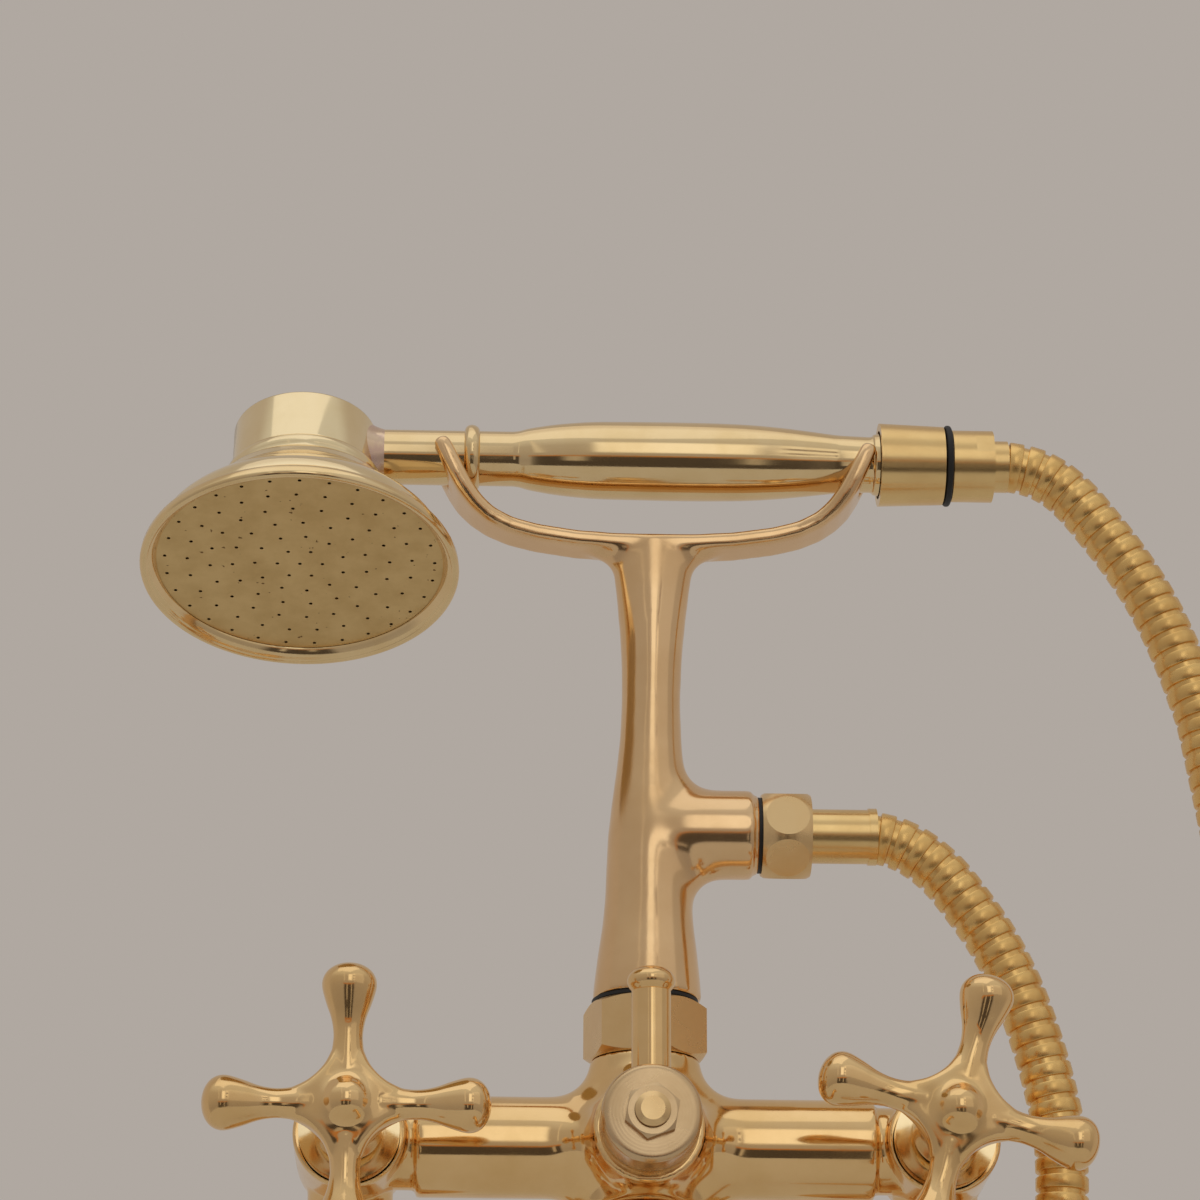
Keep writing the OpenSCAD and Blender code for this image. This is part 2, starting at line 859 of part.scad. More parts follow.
// Turned rose: neck, two beads and bell, thin walled
module rose_shell() {
    lip_r = rose_r - 2.6;
    color(brass)
        difference() {
            at_rose()
                rotate_extrude()
                    polygon([[neck_r - neck_wall, cap_h], [neck_r, cap_h], [neck_r, neck_end],
                        [neck_r + 1.7, neck_end - 0.8], [neck_r + 2.4, neck_end - 2.6],
                        [neck_r + 2, neck_end - 5], [neck_r + 2.5, neck_end - 5.8],
                        [neck_r + 4.5, neck_end - 6.6], [neck_r + 5.5, neck_end - 9.2],
                        [neck_r + 5.7, neck_end - 12.6], [neck_r + 6.7, neck_end - 15.6],
                        [neck_r + 9.1, neck_end - 19.2], [lip_r - 10.6, bell_end + 7.4],
                        [lip_r - 5, bell_end + 3.2], [lip_r, bell_end], [lip_r - 2, bell_end],
                        [lip_r - 6.4, bell_end + 2.2], [lip_r - 12, bell_end + 6],
                        [neck_r + 7.5, neck_end - 20.4], [neck_r + 4.5, neck_end - 16],
                        [neck_r + 3.7, neck_end - 10.6], [neck_r, neck_end - 5.6],
                        [neck_r - neck_wall, neck_end + 0.4]]);
            translate([rose_x, ay, up + cradle_z])
                along_x(tube_r + fit, 10, 40);
        }
}

module rose_cap() {
    color(brass)
        at_rose()
            along_z(neck_r - neck_wall - fit, cap_h - 1.6, cap_h);
}

// Flat spray plate drilled in rings
module rose_face() {
    plate_r = rose_r - 4.3;
    below = plate_top - plate_h;
    ring_holes = [6, 11, 15, 20, 25, 29];
    ring_step = (plate_r - 3.2) / 6;
    color(brass)
        at_rose()
            difference() {
                along_z(plate_r, below, plate_top);
                along_z(spray_d / 2, below - 1, plate_top + 1);
                for (k = [0 : 5])
                    for (i = [1 : ring_holes[k]])
                        rotate([0, 0, 360 * i / ring_holes[k] + 17 * k])
                            translate([ring_step * (k + 1), 0, 0])
                                along_z(spray_d / 2, below - 1, plate_top + 1);
            }
}

// Rolled rim that holds the plate against the bell
module rose_rim() {
    inner_r = rose_r - 4.2;
    color(brass)
        at_rose()
            rotate_extrude()
                polygon(concat([[inner_r, bell_end - fit]],
                    corner(rose_r - rim_roll_r, plate_top, rim_roll_r, 90, -90),
                    [[rose_r - rim_roll_r - 0.7, plate_top - rim_roll_r - 0.7],
                    [inner_r, plate_top - rim_roll_r + 0.1]]));
}

module spout_nut() {
    color(brass)
        translate([0, ay, up - boss_bottom - 7])
            rotate([180, 0, 0])
                rotate([0, 0, 15])
                    union_nut(tail_r + run, nut_h);
}

module spout_seal() {
    seal_z = -boss_bottom - spigot_len - 6;
    color(rubber)
        translate([0, ay, up])
            difference() {
                along_z(12.4, seal_z - 2, seal_z - fit);
                along_z(union_bore_r, seal_z - 3, seal_z + 1);
            }
}

// Quarter bend of a round bar about the X axis
module bend(r, turn_r, turned) {
    rotate(turned)
        rotate_extrude(angle = 90)
            translate([turn_r, 0])
                circle(r = r);
}

// Down, forward and down again: the spout drawn with a given radius
module spout_path(r, over) {
    along_z(r, bend_z, spout_top + over);
    translate([0, -bend_1, bend_z])
        bend(r, bend_1, [-90, 0, 90]);
    translate([0, 0, bend_z - bend_1])
        along_y(r, -bend_1 - spout_run, -bend_1);
    translate([0, -bend_1 - spout_run, bend_z - bend_1 - bend_2])
        bend(r, bend_2, [90, 0, -90]);
    translate([0, spout_tip, 0])
        along_z(r, spout_end - over, bend_z - bend_1 - bend_2);
}

module spout() {
    color(brass)
        translate([0, ay, up])
            difference() {
                union() {
                    spout_path(spout_d / 2, 0);
                    along_z(tail_flange_r, spout_top - 2.3, spout_top);
                }
                spout_path(spout_d / 2 - 2.5, 1);
            }
}

module aerator_ring() {
    color(brass)
        translate([0, ay + spout_tip, up])
            difference() {
                along_z(spout_d / 2 + 1.5, spout_end - 5, spout_end + 4);
                along_z(spout_d / 2 + fit, spout_end - 3.4, spout_end + 5);
                along_z(spout_d / 2 - 1.6, spout_end - 6, spout_end);
            }
}

module aerator_insert() {
    hole_r = 1.4;
    color(rubber)
        translate([0, ay + spout_tip, up])
            difference() {
                along_z(spout_d / 2, spout_end - 3.2, spout_end - 0.2);
                along_z(hole_r, spout_end - 4, spout_end);
                for (k = [0 : 5])
                    rotate([0, 0, 60 * k])
                        translate([5, 0, 0])
                            along_z(hole_r, spout_end - 4, spout_end);
            }
}

// Elbow from the leg union back to the wall, ending in the inlet thread
module wall_elbow_path(r, over) {
    level = -inlet_drop;
    along_z(r, level + elbow_turn, elbow_top - 10 + over);
    translate([0, elbow_turn, level + elbow_turn])
        bend(r, elbow_turn, [-90, 0, -90]);
    translate([0, 0, level])
        along_y(r, elbow_turn, -leg_y + over);
}

module wall_elbow(side) {
    color(brass)
        at_leg(side)
            difference() {
                union() {
                    wall_elbow_path(leg_r, 0);
                    along_z(thread_r, elbow_top - 12, elbow_top);
                    translate([0, 0, -inlet_drop])
                        along_y(wall_thread_r, -leg_y - 1, wall_thread_len - leg_y);
                }
                wall_elbow_path(inlet_r, wall_thread_len + 1);
            }
}

module left_wall_elbow() {
    wall_elbow(-1);
}

module right_wall_elbow() {
    wall_elbow(1);
}

module inlet_nut(side) {
    color(brass)
        at_leg(side)
            translate([0, 0, leg_nut_z])
                union_nut(tail_r + 0.4, nut_h);
}

module left_union_nut() {
    inlet_nut(-1);
}

module right_union_nut() {
    inlet_nut(1);
}

module union_washer(side) {
    color(rubber)
        at_leg(side)
            difference() {
                along_z(12.4, elbow_top + fit, leg_end - 6.2 - fit);
                along_z(union_bore_r, elbow_top - 1, leg_end);
            }
}

module left_union_washer() {
    union_washer(-1);
}

module right_union_washer() {
    union_washer(1);
}

// Solid turned wall flange with a rounded edge and a domed face
module wall_flange(side) {
    edge_r = 2;
    color(brass)
        translate([side * vx, 0, 0])
            rotate([90, 0, 0])
                rotate_extrude()
                    polygon(concat([[flange_hole_r, 0], [flange_r - 0.4, 0]],
                        corner(flange_r - edge_r, edge_r, edge_r, 0, 70),
                        [[flange_r - 6, 5.4], [flange_r - 10, 8], [flange_r - 15, flange_h - 2],
                        [flange_r - 19, flange_h], [flange_hole_r, flange_h]]));
}

module left_wall_flange() {
    wall_flange(-1);
}

module right_wall_flange() {
    wall_flange(1);
}

valve_body();
hot_bonnet();
cold_bonnet();
hot_gland_ring();
cold_gland_ring();
hot_spindle();
cold_spindle();
hot_jumper();
cold_jumper();
hot_jumper_washer();
cold_jumper_washer();
hot_handle();
cold_handle();
hot_grub_screw();
cold_grub_screw();
diverter_bonnet();
diverter_plug();
diverter_hub();
lever_rod();
diverter_nut();
riser_nut();
riser_seal();
riser_washer();
riser();
outlet_washer();
hose_nut();
hose_ferrule_lower();
shower_hose();
hose_ferrule_upper();
swivel_sleeve();
swivel_o_ring();
swivel_nut();
handset_handle();
handset_collar();
solder_bead();
rose_shell();
rose_cap();
rose_face();
rose_rim();
spout_nut();
spout_seal();
spout();
aerator_ring();
aerator_insert();
left_wall_elbow();
right_wall_elbow();
left_union_nut();
right_union_nut();
left_union_washer();
right_union_washer();
left_wall_flange();
right_wall_flange();
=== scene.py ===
"""Looks of a wall-mounted bath shower mixer in polished brass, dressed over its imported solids."""
import json
from math import atan2, cos, hypot, pi, radians, sin

import bpy
from mathutils import Matrix, Vector


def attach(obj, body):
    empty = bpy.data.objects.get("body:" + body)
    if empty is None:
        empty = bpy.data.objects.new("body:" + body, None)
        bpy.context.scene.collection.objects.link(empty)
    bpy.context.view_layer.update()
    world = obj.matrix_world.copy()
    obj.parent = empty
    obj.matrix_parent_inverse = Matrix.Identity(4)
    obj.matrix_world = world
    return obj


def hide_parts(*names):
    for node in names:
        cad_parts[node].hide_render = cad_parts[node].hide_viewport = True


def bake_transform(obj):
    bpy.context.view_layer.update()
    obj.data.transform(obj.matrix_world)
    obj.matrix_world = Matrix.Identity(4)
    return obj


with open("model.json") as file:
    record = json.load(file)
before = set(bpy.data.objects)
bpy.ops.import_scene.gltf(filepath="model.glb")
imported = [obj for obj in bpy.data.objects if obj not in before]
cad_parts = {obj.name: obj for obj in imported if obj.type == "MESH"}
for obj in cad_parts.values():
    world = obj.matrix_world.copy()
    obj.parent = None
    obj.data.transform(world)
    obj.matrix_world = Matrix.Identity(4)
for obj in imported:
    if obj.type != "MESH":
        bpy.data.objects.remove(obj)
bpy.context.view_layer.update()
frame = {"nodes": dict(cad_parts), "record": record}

# Sizes in millimetres, in the frame of the solids
MM = 0.001
AXIS_Y = -68.0
BARREL_Z = 82.0
VALVE_X = 85.0
LEG_Y = AXIS_Y + 11.5
CRADLE_Z = BARREL_Z + 215.0
OUTLET_Z = BARREL_Z + 95.2
CRADLE_SHIFT = 3.0
ROSE_X = -104.2

# Angles in degrees
ROSE_TILT = 16.0
COLD_TURN = 15.0

# Turns that lay a piece drawn upwards along X or towards the front
TO_RIGHT = (0.0, radians(90), 0.0)
TO_FRONT = (radians(90), 0.0, 0.0)
UPWARDS = (0.0, 0.0, 0.0)
# With no window a turn in edit mode runs the other way round
TURN = -1.0


# Camera and lamps

# Turns in radians, and the focal length and the picture's width in pixels
CAMERA_PLACE = (-53.2, -1239.9, BARREL_Z - 270.8)
CAMERA_YAW = 0.03382
CAMERA_PITCH = 0.35903
CAMERA_ROLL = radians(0.2)
FOCAL_PIXELS = 4129.7
PICTURE_PIXELS = 1200
SENSOR_WIDTH = 36.0
FAR_CLIP_M = 20.0


def aim_camera():
    """The photograph's view: from below and a little to the left, with a long lens."""
    place = Vector(CAMERA_PLACE) * MM
    flat = cos(CAMERA_PITCH)
    forward = Vector((sin(CAMERA_YAW) * flat, cos(CAMERA_YAW) * flat, sin(CAMERA_PITCH)))
    level = forward.cross(Vector((0, 0, 1))).normalized()
    upright = level.cross(forward)
    right = level * cos(CAMERA_ROLL) + upright * sin(CAMERA_ROLL)
    up = upright * cos(CAMERA_ROLL) - level * sin(CAMERA_ROLL)
    data = bpy.data.cameras.new("photo_view")
    data.sensor_width = SENSOR_WIDTH
    data.lens = FOCAL_PIXELS / PICTURE_PIXELS * SENSOR_WIDTH
    data.clip_end = FAR_CLIP_M
    camera = bpy.data.objects.new("photo_view", data)
    bpy.context.scene.collection.objects.link(camera)
    turn = Matrix((right, up, -forward)).transposed()
    camera.matrix_world = Matrix.Translation(place) @ turn.to_4x4()
    bpy.context.scene.camera = camera


# Lamps: place, width and depth in metres, power in watts and colour
LIT_PLACE = (0, -0.05, 0.15)
LAMPS = {"overhead": ((-0.3, -0.5, 2.7), (2.4, 2.4), 5.0, (1.0, 0.98, 0.95)),
         "fill": ((1.4, -1.8, 0.9), (2.0, 2.0), 1.5, (1.0, 0.97, 0.92))}


def soft_light(name, place, size, power, colour):
    """A large lamp that looks at the object."""
    data = bpy.data.lights.new(name, "AREA")
    data.shape = "RECTANGLE"
    data.size, data.size_y = size
    data.energy = power
    data.color = colour
    light = bpy.data.objects.new(name, data)
    light.location = place
    light.rotation_euler = (Vector(LIT_PLACE) - Vector(place)).to_track_quat("-Z", "Y").to_euler()
    bpy.context.scene.collection.objects.link(light)


# Shader nodes

def link(tree, source, target):
    tree.links.new(source, target)


def add(tree, kind, **values):
    """A shader node with its settings and its plain input values."""
    node = tree.nodes.new(kind)
    for key, value in values.items():
        if key.startswith("in_"):
            name = key[3:]
            node.inputs[int(name) if name.isdigit() else name.replace("_", " ")].default_value = value
        else:
            setattr(node, key, value)
    return node


def band(tree, value, edges, soft):
    """One between two edges of a value and zero outside them, with soft borders."""
    rise = add(tree, "ShaderNodeMapRange", in_1=edges[0] - soft, in_2=edges[0] + soft, clamp=True)
    fall = add(tree, "ShaderNodeMapRange", in_1=edges[1] + soft, in_2=edges[1] - soft, clamp=True)
    both = add(tree, "ShaderNodeMath", operation="MULTIPLY")
    for side, slot in ((rise, 0), (fall, 1)):
        side.interpolation_type = "SMOOTHSTEP"
        link(tree, value, side.inputs[0])
        link(tree, side.outputs[0], both.inputs[slot])
    return both.outputs[0]


def patch(tree, under, colour, *bands):
    """Lays a patch of colour over what is under it, where all the bands meet."""
    mask = bands[0]
    for other in bands[1:]:
        both = add(tree, "ShaderNodeMath", operation="MULTIPLY")
        link(tree, mask, both.inputs[0])
        link(tree, other, both.inputs[1])
        mask = both.outputs[0]
    mix = add(tree, "ShaderNodeMix", data_type="RGBA")
    link(tree, mask, mix.inputs["Factor"])
    link(tree, under, mix.inputs[6])
    mix.inputs[7].default_value = colour
    return mix.outputs[2]


# The room that the metal mirrors, as parts of a direction

WALL = (0.434, 0.392, 0.356, 1)
# Share of the height from below to above, and colour
ROOM_TONES = [(0.0, (0.36, 0.33, 0.30, 1)), (0.30, (0.31, 0.28, 0.26, 1)), (0.55, (0.39, 0.353, 0.32, 1)),
              (0.72, (0.42, 0.39, 0.36, 1)), (0.86, (0.56, 0.55, 0.53, 1)), (1.0, (0.60, 0.59, 0.57, 1))]
# Colour, lower and upper edge, their softness, left and right edge, their softness
DARK_FURNITURE = [((0.065, 0.053, 0.045, 1), (-0.70, -0.16), 0.03, (-0.36, 0.36), 0.06),
                  ((0.42, 0.37, 0.31, 1), (-0.40, -0.15), 0.03, (-0.19, -0.11), 0.015),
                  ((0.46, 0.41, 0.35, 1), (-0.46, -0.15), 0.03, (0.15, 0.21), 0.015)]
WOODEN_EDGE = ((0.42, 0.17, 0.03, 1), (-0.165, -0.115), 0.012, (-0.42, 0.38), 0.06)
WINDOWS = [((1.0, 0.97, 0.91, 1), (0.05, 0.56), 0.05, (-0.05, 0.19), 0.035),
           ((0.64, 0.60, 0.54, 1), (0.05, 0.75), 0.05, (-0.33, -0.29), 0.015),
           ((0.72, 0.68, 0.62, 1), (0.06, 0.60), 0.04, (0.23, 0.34), 0.015)]
DARK_SPOTS = [((0.10, 0.07, 0.06, 1), (0.13, 0.23), 0.02, (0.26, 0.31), 0.015),
              ((0.13, 0.10, 0.09, 1), (0.37, 0.47), 0.02, (0.25, 0.32), 0.015)]
# How soft the border is between what is in front of the object and what is behind it
ROOM_BORDER = 0.15


def room():
    """A warm grey room: a pale window in front, dark furniture and a wooden edge under it.
    The view, and the metal that mirrors what is behind the object, show the plain wall."""
    world = bpy.data.worlds.new("room")
    world.use_nodes = True
    bpy.context.scene.world = world
    tree = world.node_tree
    tree.nodes.clear()
    where = add(tree, "ShaderNodeTexCoord")
    parts = add(tree, "ShaderNodeSeparateXYZ")
    link(tree, where.outputs["Generated"], parts.inputs[0])
    across, ahead, high = (parts.outputs[axis] for axis in "XYZ")
    lift = add(tree, "ShaderNodeMath", operation="MULTIPLY_ADD", in_1=0.5, in_2=0.5)
    link(tree, high, lift.inputs[0])
    height = add(tree, "ShaderNodeValToRGB")
    stops = height.color_ramp.elements
    stops[0].position, stops[0].color = ROOM_TONES[0]
    stops[1].position, stops[1].color = ROOM_TONES[-1]
    for position, colour in ROOM_TONES[1:-1]:
        stops.new(position).color = colour
    link(tree, lift.outputs[0], height.inputs[0])
    front = band(tree, ahead, (-2.0, -0.25), ROOM_BORDER)
    view = height.outputs["Color"]
    for colour, heights, edge, widths, side in DARK_FURNITURE + [WOODEN_EDGE] + WINDOWS + DARK_SPOTS:
        view = patch(tree, view, colour, front, band(tree, high, heights, edge),
                     band(tree, across, widths, side))
    path = add(tree, "ShaderNodeLightPath")
    mirrored = add(tree, "ShaderNodeMath", operation="MAXIMUM")
    link(tree, path.outputs["Is Glossy Ray"], mirrored.inputs[0])
    link(tree, path.outputs["Is Transmission Ray"], mirrored.inputs[1])
    behind = add(tree, "ShaderNodeMath", operation="MULTIPLY")
    link(tree, mirrored.outputs[0], behind.inputs[0])
    link(tree, band(tree, ahead, (0.0, 2.0), ROOM_BORDER), behind.inputs[1])
    seen = add(tree, "ShaderNodeMath", operation="MAXIMUM")
    link(tree, path.outputs["Is Camera Ray"], seen.inputs[0])
    link(tree, behind.outputs[0], seen.inputs[1])
    wall = add(tree, "ShaderNodeMix", data_type="RGBA")
    link(tree, seen.outputs[0], wall.inputs["Factor"])
    link(tree, view, wall.inputs[6])
    wall.inputs[7].default_value = WALL
    sky = add(tree, "ShaderNodeBackground", in_Strength=1.0)
    link(tree, wall.outputs[2], sky.inputs["Color"])
    out = add(tree, "ShaderNodeOutputWorld")
    link(tree, sky.outputs[0], out.inputs["Surface"])


# Materials

PIT_COLOUR = (0.20, 0.11, 0.04, 1)


def new_group(name, inputs, outputs):
    """An empty node group with its sockets, and its input and output nodes."""
    tree = bpy.data.node_groups.new(name, "ShaderNodeTree")
    for label, kind, value in inputs:
        socket = tree.interface.new_socket(label, in_out="INPUT", socket_type=kind)
        socket.default_value = value
    for label, kind in outputs:
        tree.interface.new_socket(label, in_out="OUTPUT", socket_type=kind)
    return tree, tree.nodes.new("NodeGroupInput"), tree.nodes.new("NodeGroupOutput")


def make_polish_group():
    """Hand-polished metal: cloudy tarnish, fine scratches and a slow waviness."""
    tree, given, result = new_group(
        "polished_surface",
        [("Vector", "NodeSocketVector", (0, 0, 0)), ("Cloud Scale", "NodeSocketFloat", 60.0),
         ("Scratch Scale", "NodeSocketFloat", 900.0), ("Scratch Depth", "NodeSocketFloat", 0.2),
         ("Stretch", "NodeSocketVector", (1, 1, 1))],
        [("Tarnish", "NodeSocketFloat"), ("Height", "NodeSocketFloat")])
    cloud = add(tree, "ShaderNodeTexNoise", in_Detail=5.0, in_Roughness=0.6)
    link(tree, given.outputs["Vector"], cloud.inputs["Vector"])
    link(tree, given.outputs["Cloud Scale"], cloud.inputs["Scale"])
    mask = add(tree, "ShaderNodeMapRange", in_1=0.38, in_2=0.72, clamp=True)
    link(tree, cloud.outputs["Fac"], mask.inputs[0])
    link(tree, mask.outputs[0], result.inputs["Tarnish"])
    stretch = add(tree, "ShaderNodeMapping")
    link(tree, given.outputs["Stretch"], stretch.inputs["Scale"])
    link(tree, given.outputs["Vector"], stretch.inputs["Vector"])
    scratch = add(tree, "ShaderNodeTexNoise", in_Detail=3.0)
    link(tree, stretch.outputs[0], scratch.inputs["Vector"])
    link(tree, given.outputs["Scratch Scale"], scratch.inputs["Scale"])
    fine = add(tree, "ShaderNodeMath", operation="MULTIPLY")
    link(tree, scratch.outputs["Fac"], fine.inputs[0])
    link(tree, given.outputs["Scratch Depth"], fine.inputs[1])
    wave = add(tree, "ShaderNodeTexNoise", in_Scale=70.0, in_Detail=1.0)
    link(tree, given.outputs["Vector"], wave.inputs["Vector"])
    total = add(tree, "ShaderNodeMath", operation="ADD")
    link(tree, fine.outputs[0], total.inputs[0])
    link(tree, wave.outputs["Fac"], total.inputs[1])
    link(tree, total.outputs[0], result.inputs["Height"])
    return tree


POLISH = make_polish_group()


def brass(name, bright, dull, roughness, clouds, scratches, depth, bump, stretch, pits=0.0):
    """Solid brass: a bright and a dull colour mixed by tarnish, with the polish relief.
    The scratches run across the axes that have the greater stretch; pits are small brown spots."""
    material = bpy.data.materials.new(name)
    material.use_nodes = True
    tree = material.node_tree
    metal = tree.nodes["Principled BSDF"]
    metal.inputs["Metallic"].default_value = 1.0
    where = add(tree, "ShaderNodeTexCoord")
    skin = add(tree, "ShaderNodeGroup", node_tree=POLISH, in_Cloud_Scale=clouds,
               in_Scratch_Scale=scratches, in_Scratch_Depth=depth, in_Stretch=stretch)
    link(tree, where.outputs["Object"], skin.inputs["Vector"])
    colour = add(tree, "ShaderNodeMix", data_type="RGBA")
    colour.inputs[6].default_value = bright
    colour.inputs[7].default_value = dull
    link(tree, skin.outputs["Tarnish"], colour.inputs["Factor"])
    tint = colour.outputs[2]
    if pits:
        speck = add(tree, "ShaderNodeTexNoise", in_Scale=pits, in_Detail=2.0)
        link(tree, where.outputs["Object"], speck.inputs["Vector"])
        tint = patch(tree, tint, PIT_COLOUR, band(tree, speck.outputs["Fac"], (0.73, 2.0), 0.02))
    link(tree, tint, metal.inputs["Base Color"])
    rough = add(tree, "ShaderNodeMapRange", in_3=roughness[0], in_4=roughness[1])
    link(tree, skin.outputs["Tarnish"], rough.inputs[0])
    link(tree, rough.outputs[0], metal.inputs["Roughness"])
    relief = add(tree, "ShaderNodeBump", in_Strength=bump, in_Distance=0.0002)
    link(tree, skin.outputs["Height"], relief.inputs["Height"])
    link(tree, relief.outputs[0], metal.inputs["Normal"])
    return material


def lathe_marks(material, centre):
    """Adds the rings that a lathe tool leaves on a face that looks along Y."""
    tree = material.node_tree
    metal = tree.nodes["Principled BSDF"]
    relief = metal.inputs["Normal"].links[0].from_socket
    where = add(tree, "ShaderNodeTexCoord")
    shift = add(tree, "ShaderNodeMapping", in_Location=tuple(-c * MM for c in centre))
    link(tree, where.outputs["Object"], shift.inputs["Vector"])
    rings = add(tree, "ShaderNodeTexWave", wave_type="RINGS", rings_direction="Y", in_Scale=330.0,
                in_Distortion=1.2, in_Detail=2.0)
    link(tree, shift.outputs[0], rings.inputs["Vector"])
    marks = add(tree, "ShaderNodeBump", in_Strength=0.05, in_Distance=0.0001)
    link(tree, rings.outputs["Fac"], marks.inputs["Height"])
    link(tree, relief, marks.inputs["Normal"])
    link(tree, marks.outputs[0], metal.inputs["Normal"])
    return material


def plain(name, colour, roughness, grain):
    """A plain material such as rubber or plastic, with a fine grain."""
    material = bpy.data.materials.new(name)
    material.use_nodes = True
    tree = material.node_tree
    body = tree.nodes["Principled BSDF"]
    body.inputs["Roughness"].default_value = roughness
    where = add(tree, "ShaderNodeTexCoord")
    noise = add(tree, "ShaderNodeTexNoise", in_Scale=grain, in_Detail=4.0)
    link(tree, where.outputs["Object"], noise.inputs["Vector"])
    tone = add(tree, "ShaderNodeMix", data_type="RGBA")
    tone.inputs[6].default_value = colour
    tone.inputs[7].default_value = tuple(0.7 * c for c in colour[:3]) + (1,)
    link(tree, noise.outputs["Fac"], tone.inputs["Factor"])
    link(tree, tone.outputs[2], body.inputs["Base Color"])
    relief = add(tree, "ShaderNodeBump", in_Strength=0.15, in_Distance=0.0001)
    link(tree, noise.outputs["Fac"], relief.inputs["Height"])
    link(tree, relief.outputs[0], body.inputs["Normal"])
    return material


# Bright and dull colour, roughness, scale of the clouds, scale and depth of the scratches, relief and stretch
POLISHED = brass("polished_brass", (0.91, 0.63, 0.31, 1), (0.84, 0.56, 0.25, 1), (0.08, 0.16),
                 60.0, 900.0, 0.10, 0.10, (1.0, 9.0, 3.0))
PALE = brass("pale_brass", (0.90, 0.69, 0.39, 1), (0.84, 0.62, 0.32, 1), (0.07, 0.15),
             60.0, 900.0, 0.10, 0.10, (1.0, 9.0, 3.0))
# Painted sheen: the polished brass made paler and yellower, to lighten the rose bell and the valve bonnets
PAINTED_SHEEN_BRASS = brass("painted_sheen_brass", (0.95, 0.78, 0.49, 1), (0.90, 0.72, 0.42, 1), (0.08, 0.16),
              60.0, 900.0, 0.10, 0.10, (1.0, 9.0, 3.0))
CAST = brass("cast_brass", (0.88, 0.61, 0.34, 1), (0.81, 0.54, 0.28, 1), (0.12, 0.20),
             45.0, 220.0, 0.4, 0.05, (14.0, 14.0, 1.0))
SATIN = brass("satin_brass", (0.87, 0.62, 0.32, 1), (0.79, 0.53, 0.25, 1), (0.24, 0.34),
              40.0, 220.0, 0.5, 0.10, (1.0, 1.0, 16.0))
TURNED = brass("turned_brass", (0.88, 0.63, 0.29, 1), (0.80, 0.54, 0.23, 1), (0.20, 0.30),
               40.0, 220.0, 0.5, 0.10, (16.0, 1.0, 1.0))
PLATE = brass("plate_brass", (0.73, 0.52, 0.24, 1), (0.63, 0.44, 0.19, 1), (0.30, 0.42),
              90.0, 320.0, 0.6, 0.12, (9.0, 1.0, 1.0), 420.0)
WOUND = brass("hose_brass", (0.90, 0.595, 0.228, 1), (0.81, 0.50, 0.173, 1), (0.25, 0.35),
              140.0, 1600.0, 0.4, 0.12, (1.0, 1.0, 1.0))
FACED = lathe_marks(brass("faced_brass", (0.73, 0.53, 0.31, 1), (0.65, 0.45, 0.24, 1), (0.24, 0.36),
                          40.0, 600.0, 0.3, 0.06, (1.0, 1.0, 1.0)), (0.0, AXIS_Y, BARREL_Z))
SOLDER = brass("heated_solder", (0.84, 0.64, 0.46, 1), (0.66, 0.45, 0.42, 1), (0.16, 0.34),
               200.0, 900.0, 0.4, 0.2, (1.0, 1.0, 1.0))
# Near-black painted shade for the bell's closed inside, standing in for the shadow inside the hollow rose
SHADE = plain("painted_shade_inside", (0.02, 0.015, 0.01, 1), 0.9, 400.0)
RUBBER = plain("black_rubber", (0.012, 0.012, 0.013, 1), 0.55, 900.0)
PLASTIC = plain("aerator_plastic", (0.55, 0.55, 0.53, 1), 0.4, 700.0)
FINISHES = {"polished_brass": POLISHED, "satin_brass": SATIN, "plate_brass": PLATE,
            "hose_brass": WOUND, "rubber": RUBBER, "plastic": PLASTIC}


def dress(piece, material):
    piece.data.materials.clear()
    piece.data.materials.append(material)


def dress_solids():
    """Each solid that stays in view gets the finish of its material slot."""
    slots = {entry["node"]: entry["material_slot"] for entry in frame["record"]["subparts"]}
    for name, solid in frame["nodes"].items():
        dress(solid, FINISHES[slots[name]])
    for name in ("swivel_nut", "swivel_sleeve", "hose_ferrule_lower", "hose_ferrule_upper"):
        dress(frame["nodes"][name], TURNED)
    dress(frame["nodes"]["diverter_nut"], FACED)
    # The bonnets get the paler brass as painted light, offsetting the deeper, warmer tone that light bouncing
    # between brass parts gives them
    for name in ("hot_bonnet", "cold_bonnet"):
        dress(frame["nodes"][name], PAINTED_SHEEN_BRASS)
    only(frame["nodes"]["riser_nut"])
    bpy.ops.object.shade_flat()


# Modelling tools

def clear():
    bpy.ops.object.select_all(action="DESELECT")


def only(piece):
    clear()
    piece.select_set(True)
    bpy.context.view_layer.objects.active = piece


def smooth_run(points, steps=6):
    """More stations on a smooth curve through the given ones."""
    ends = [points[0]] + list(points) + [points[-1]]
    out = []
    for p0, p1, p2, p3 in zip(ends, ends[1:], ends[2:], ends[3:]):
        for k in range(steps):
            t = k / steps
            out.append(tuple(0.5 * (2 * b + (c - a) * t + (2 * a - 5 * b + 4 * c - d) * t * t
                                    + (3 * b - a - 3 * c + d) * t ** 3)
                             for a, b, c, d in zip(p0, p1, p2, p3)))
    out.append(tuple(points[-1]))
    return out


def corner(height, radius, r, start, end, steps=6):
    """Stations of a rounded edge: centre, its radius, and angles measured from the outward side."""
    angles = [radians(start + (end - start) * k / steps) for k in range(steps + 1)]
    return [(height + r * sin(a), radius + r * cos(a)) for a in angles]


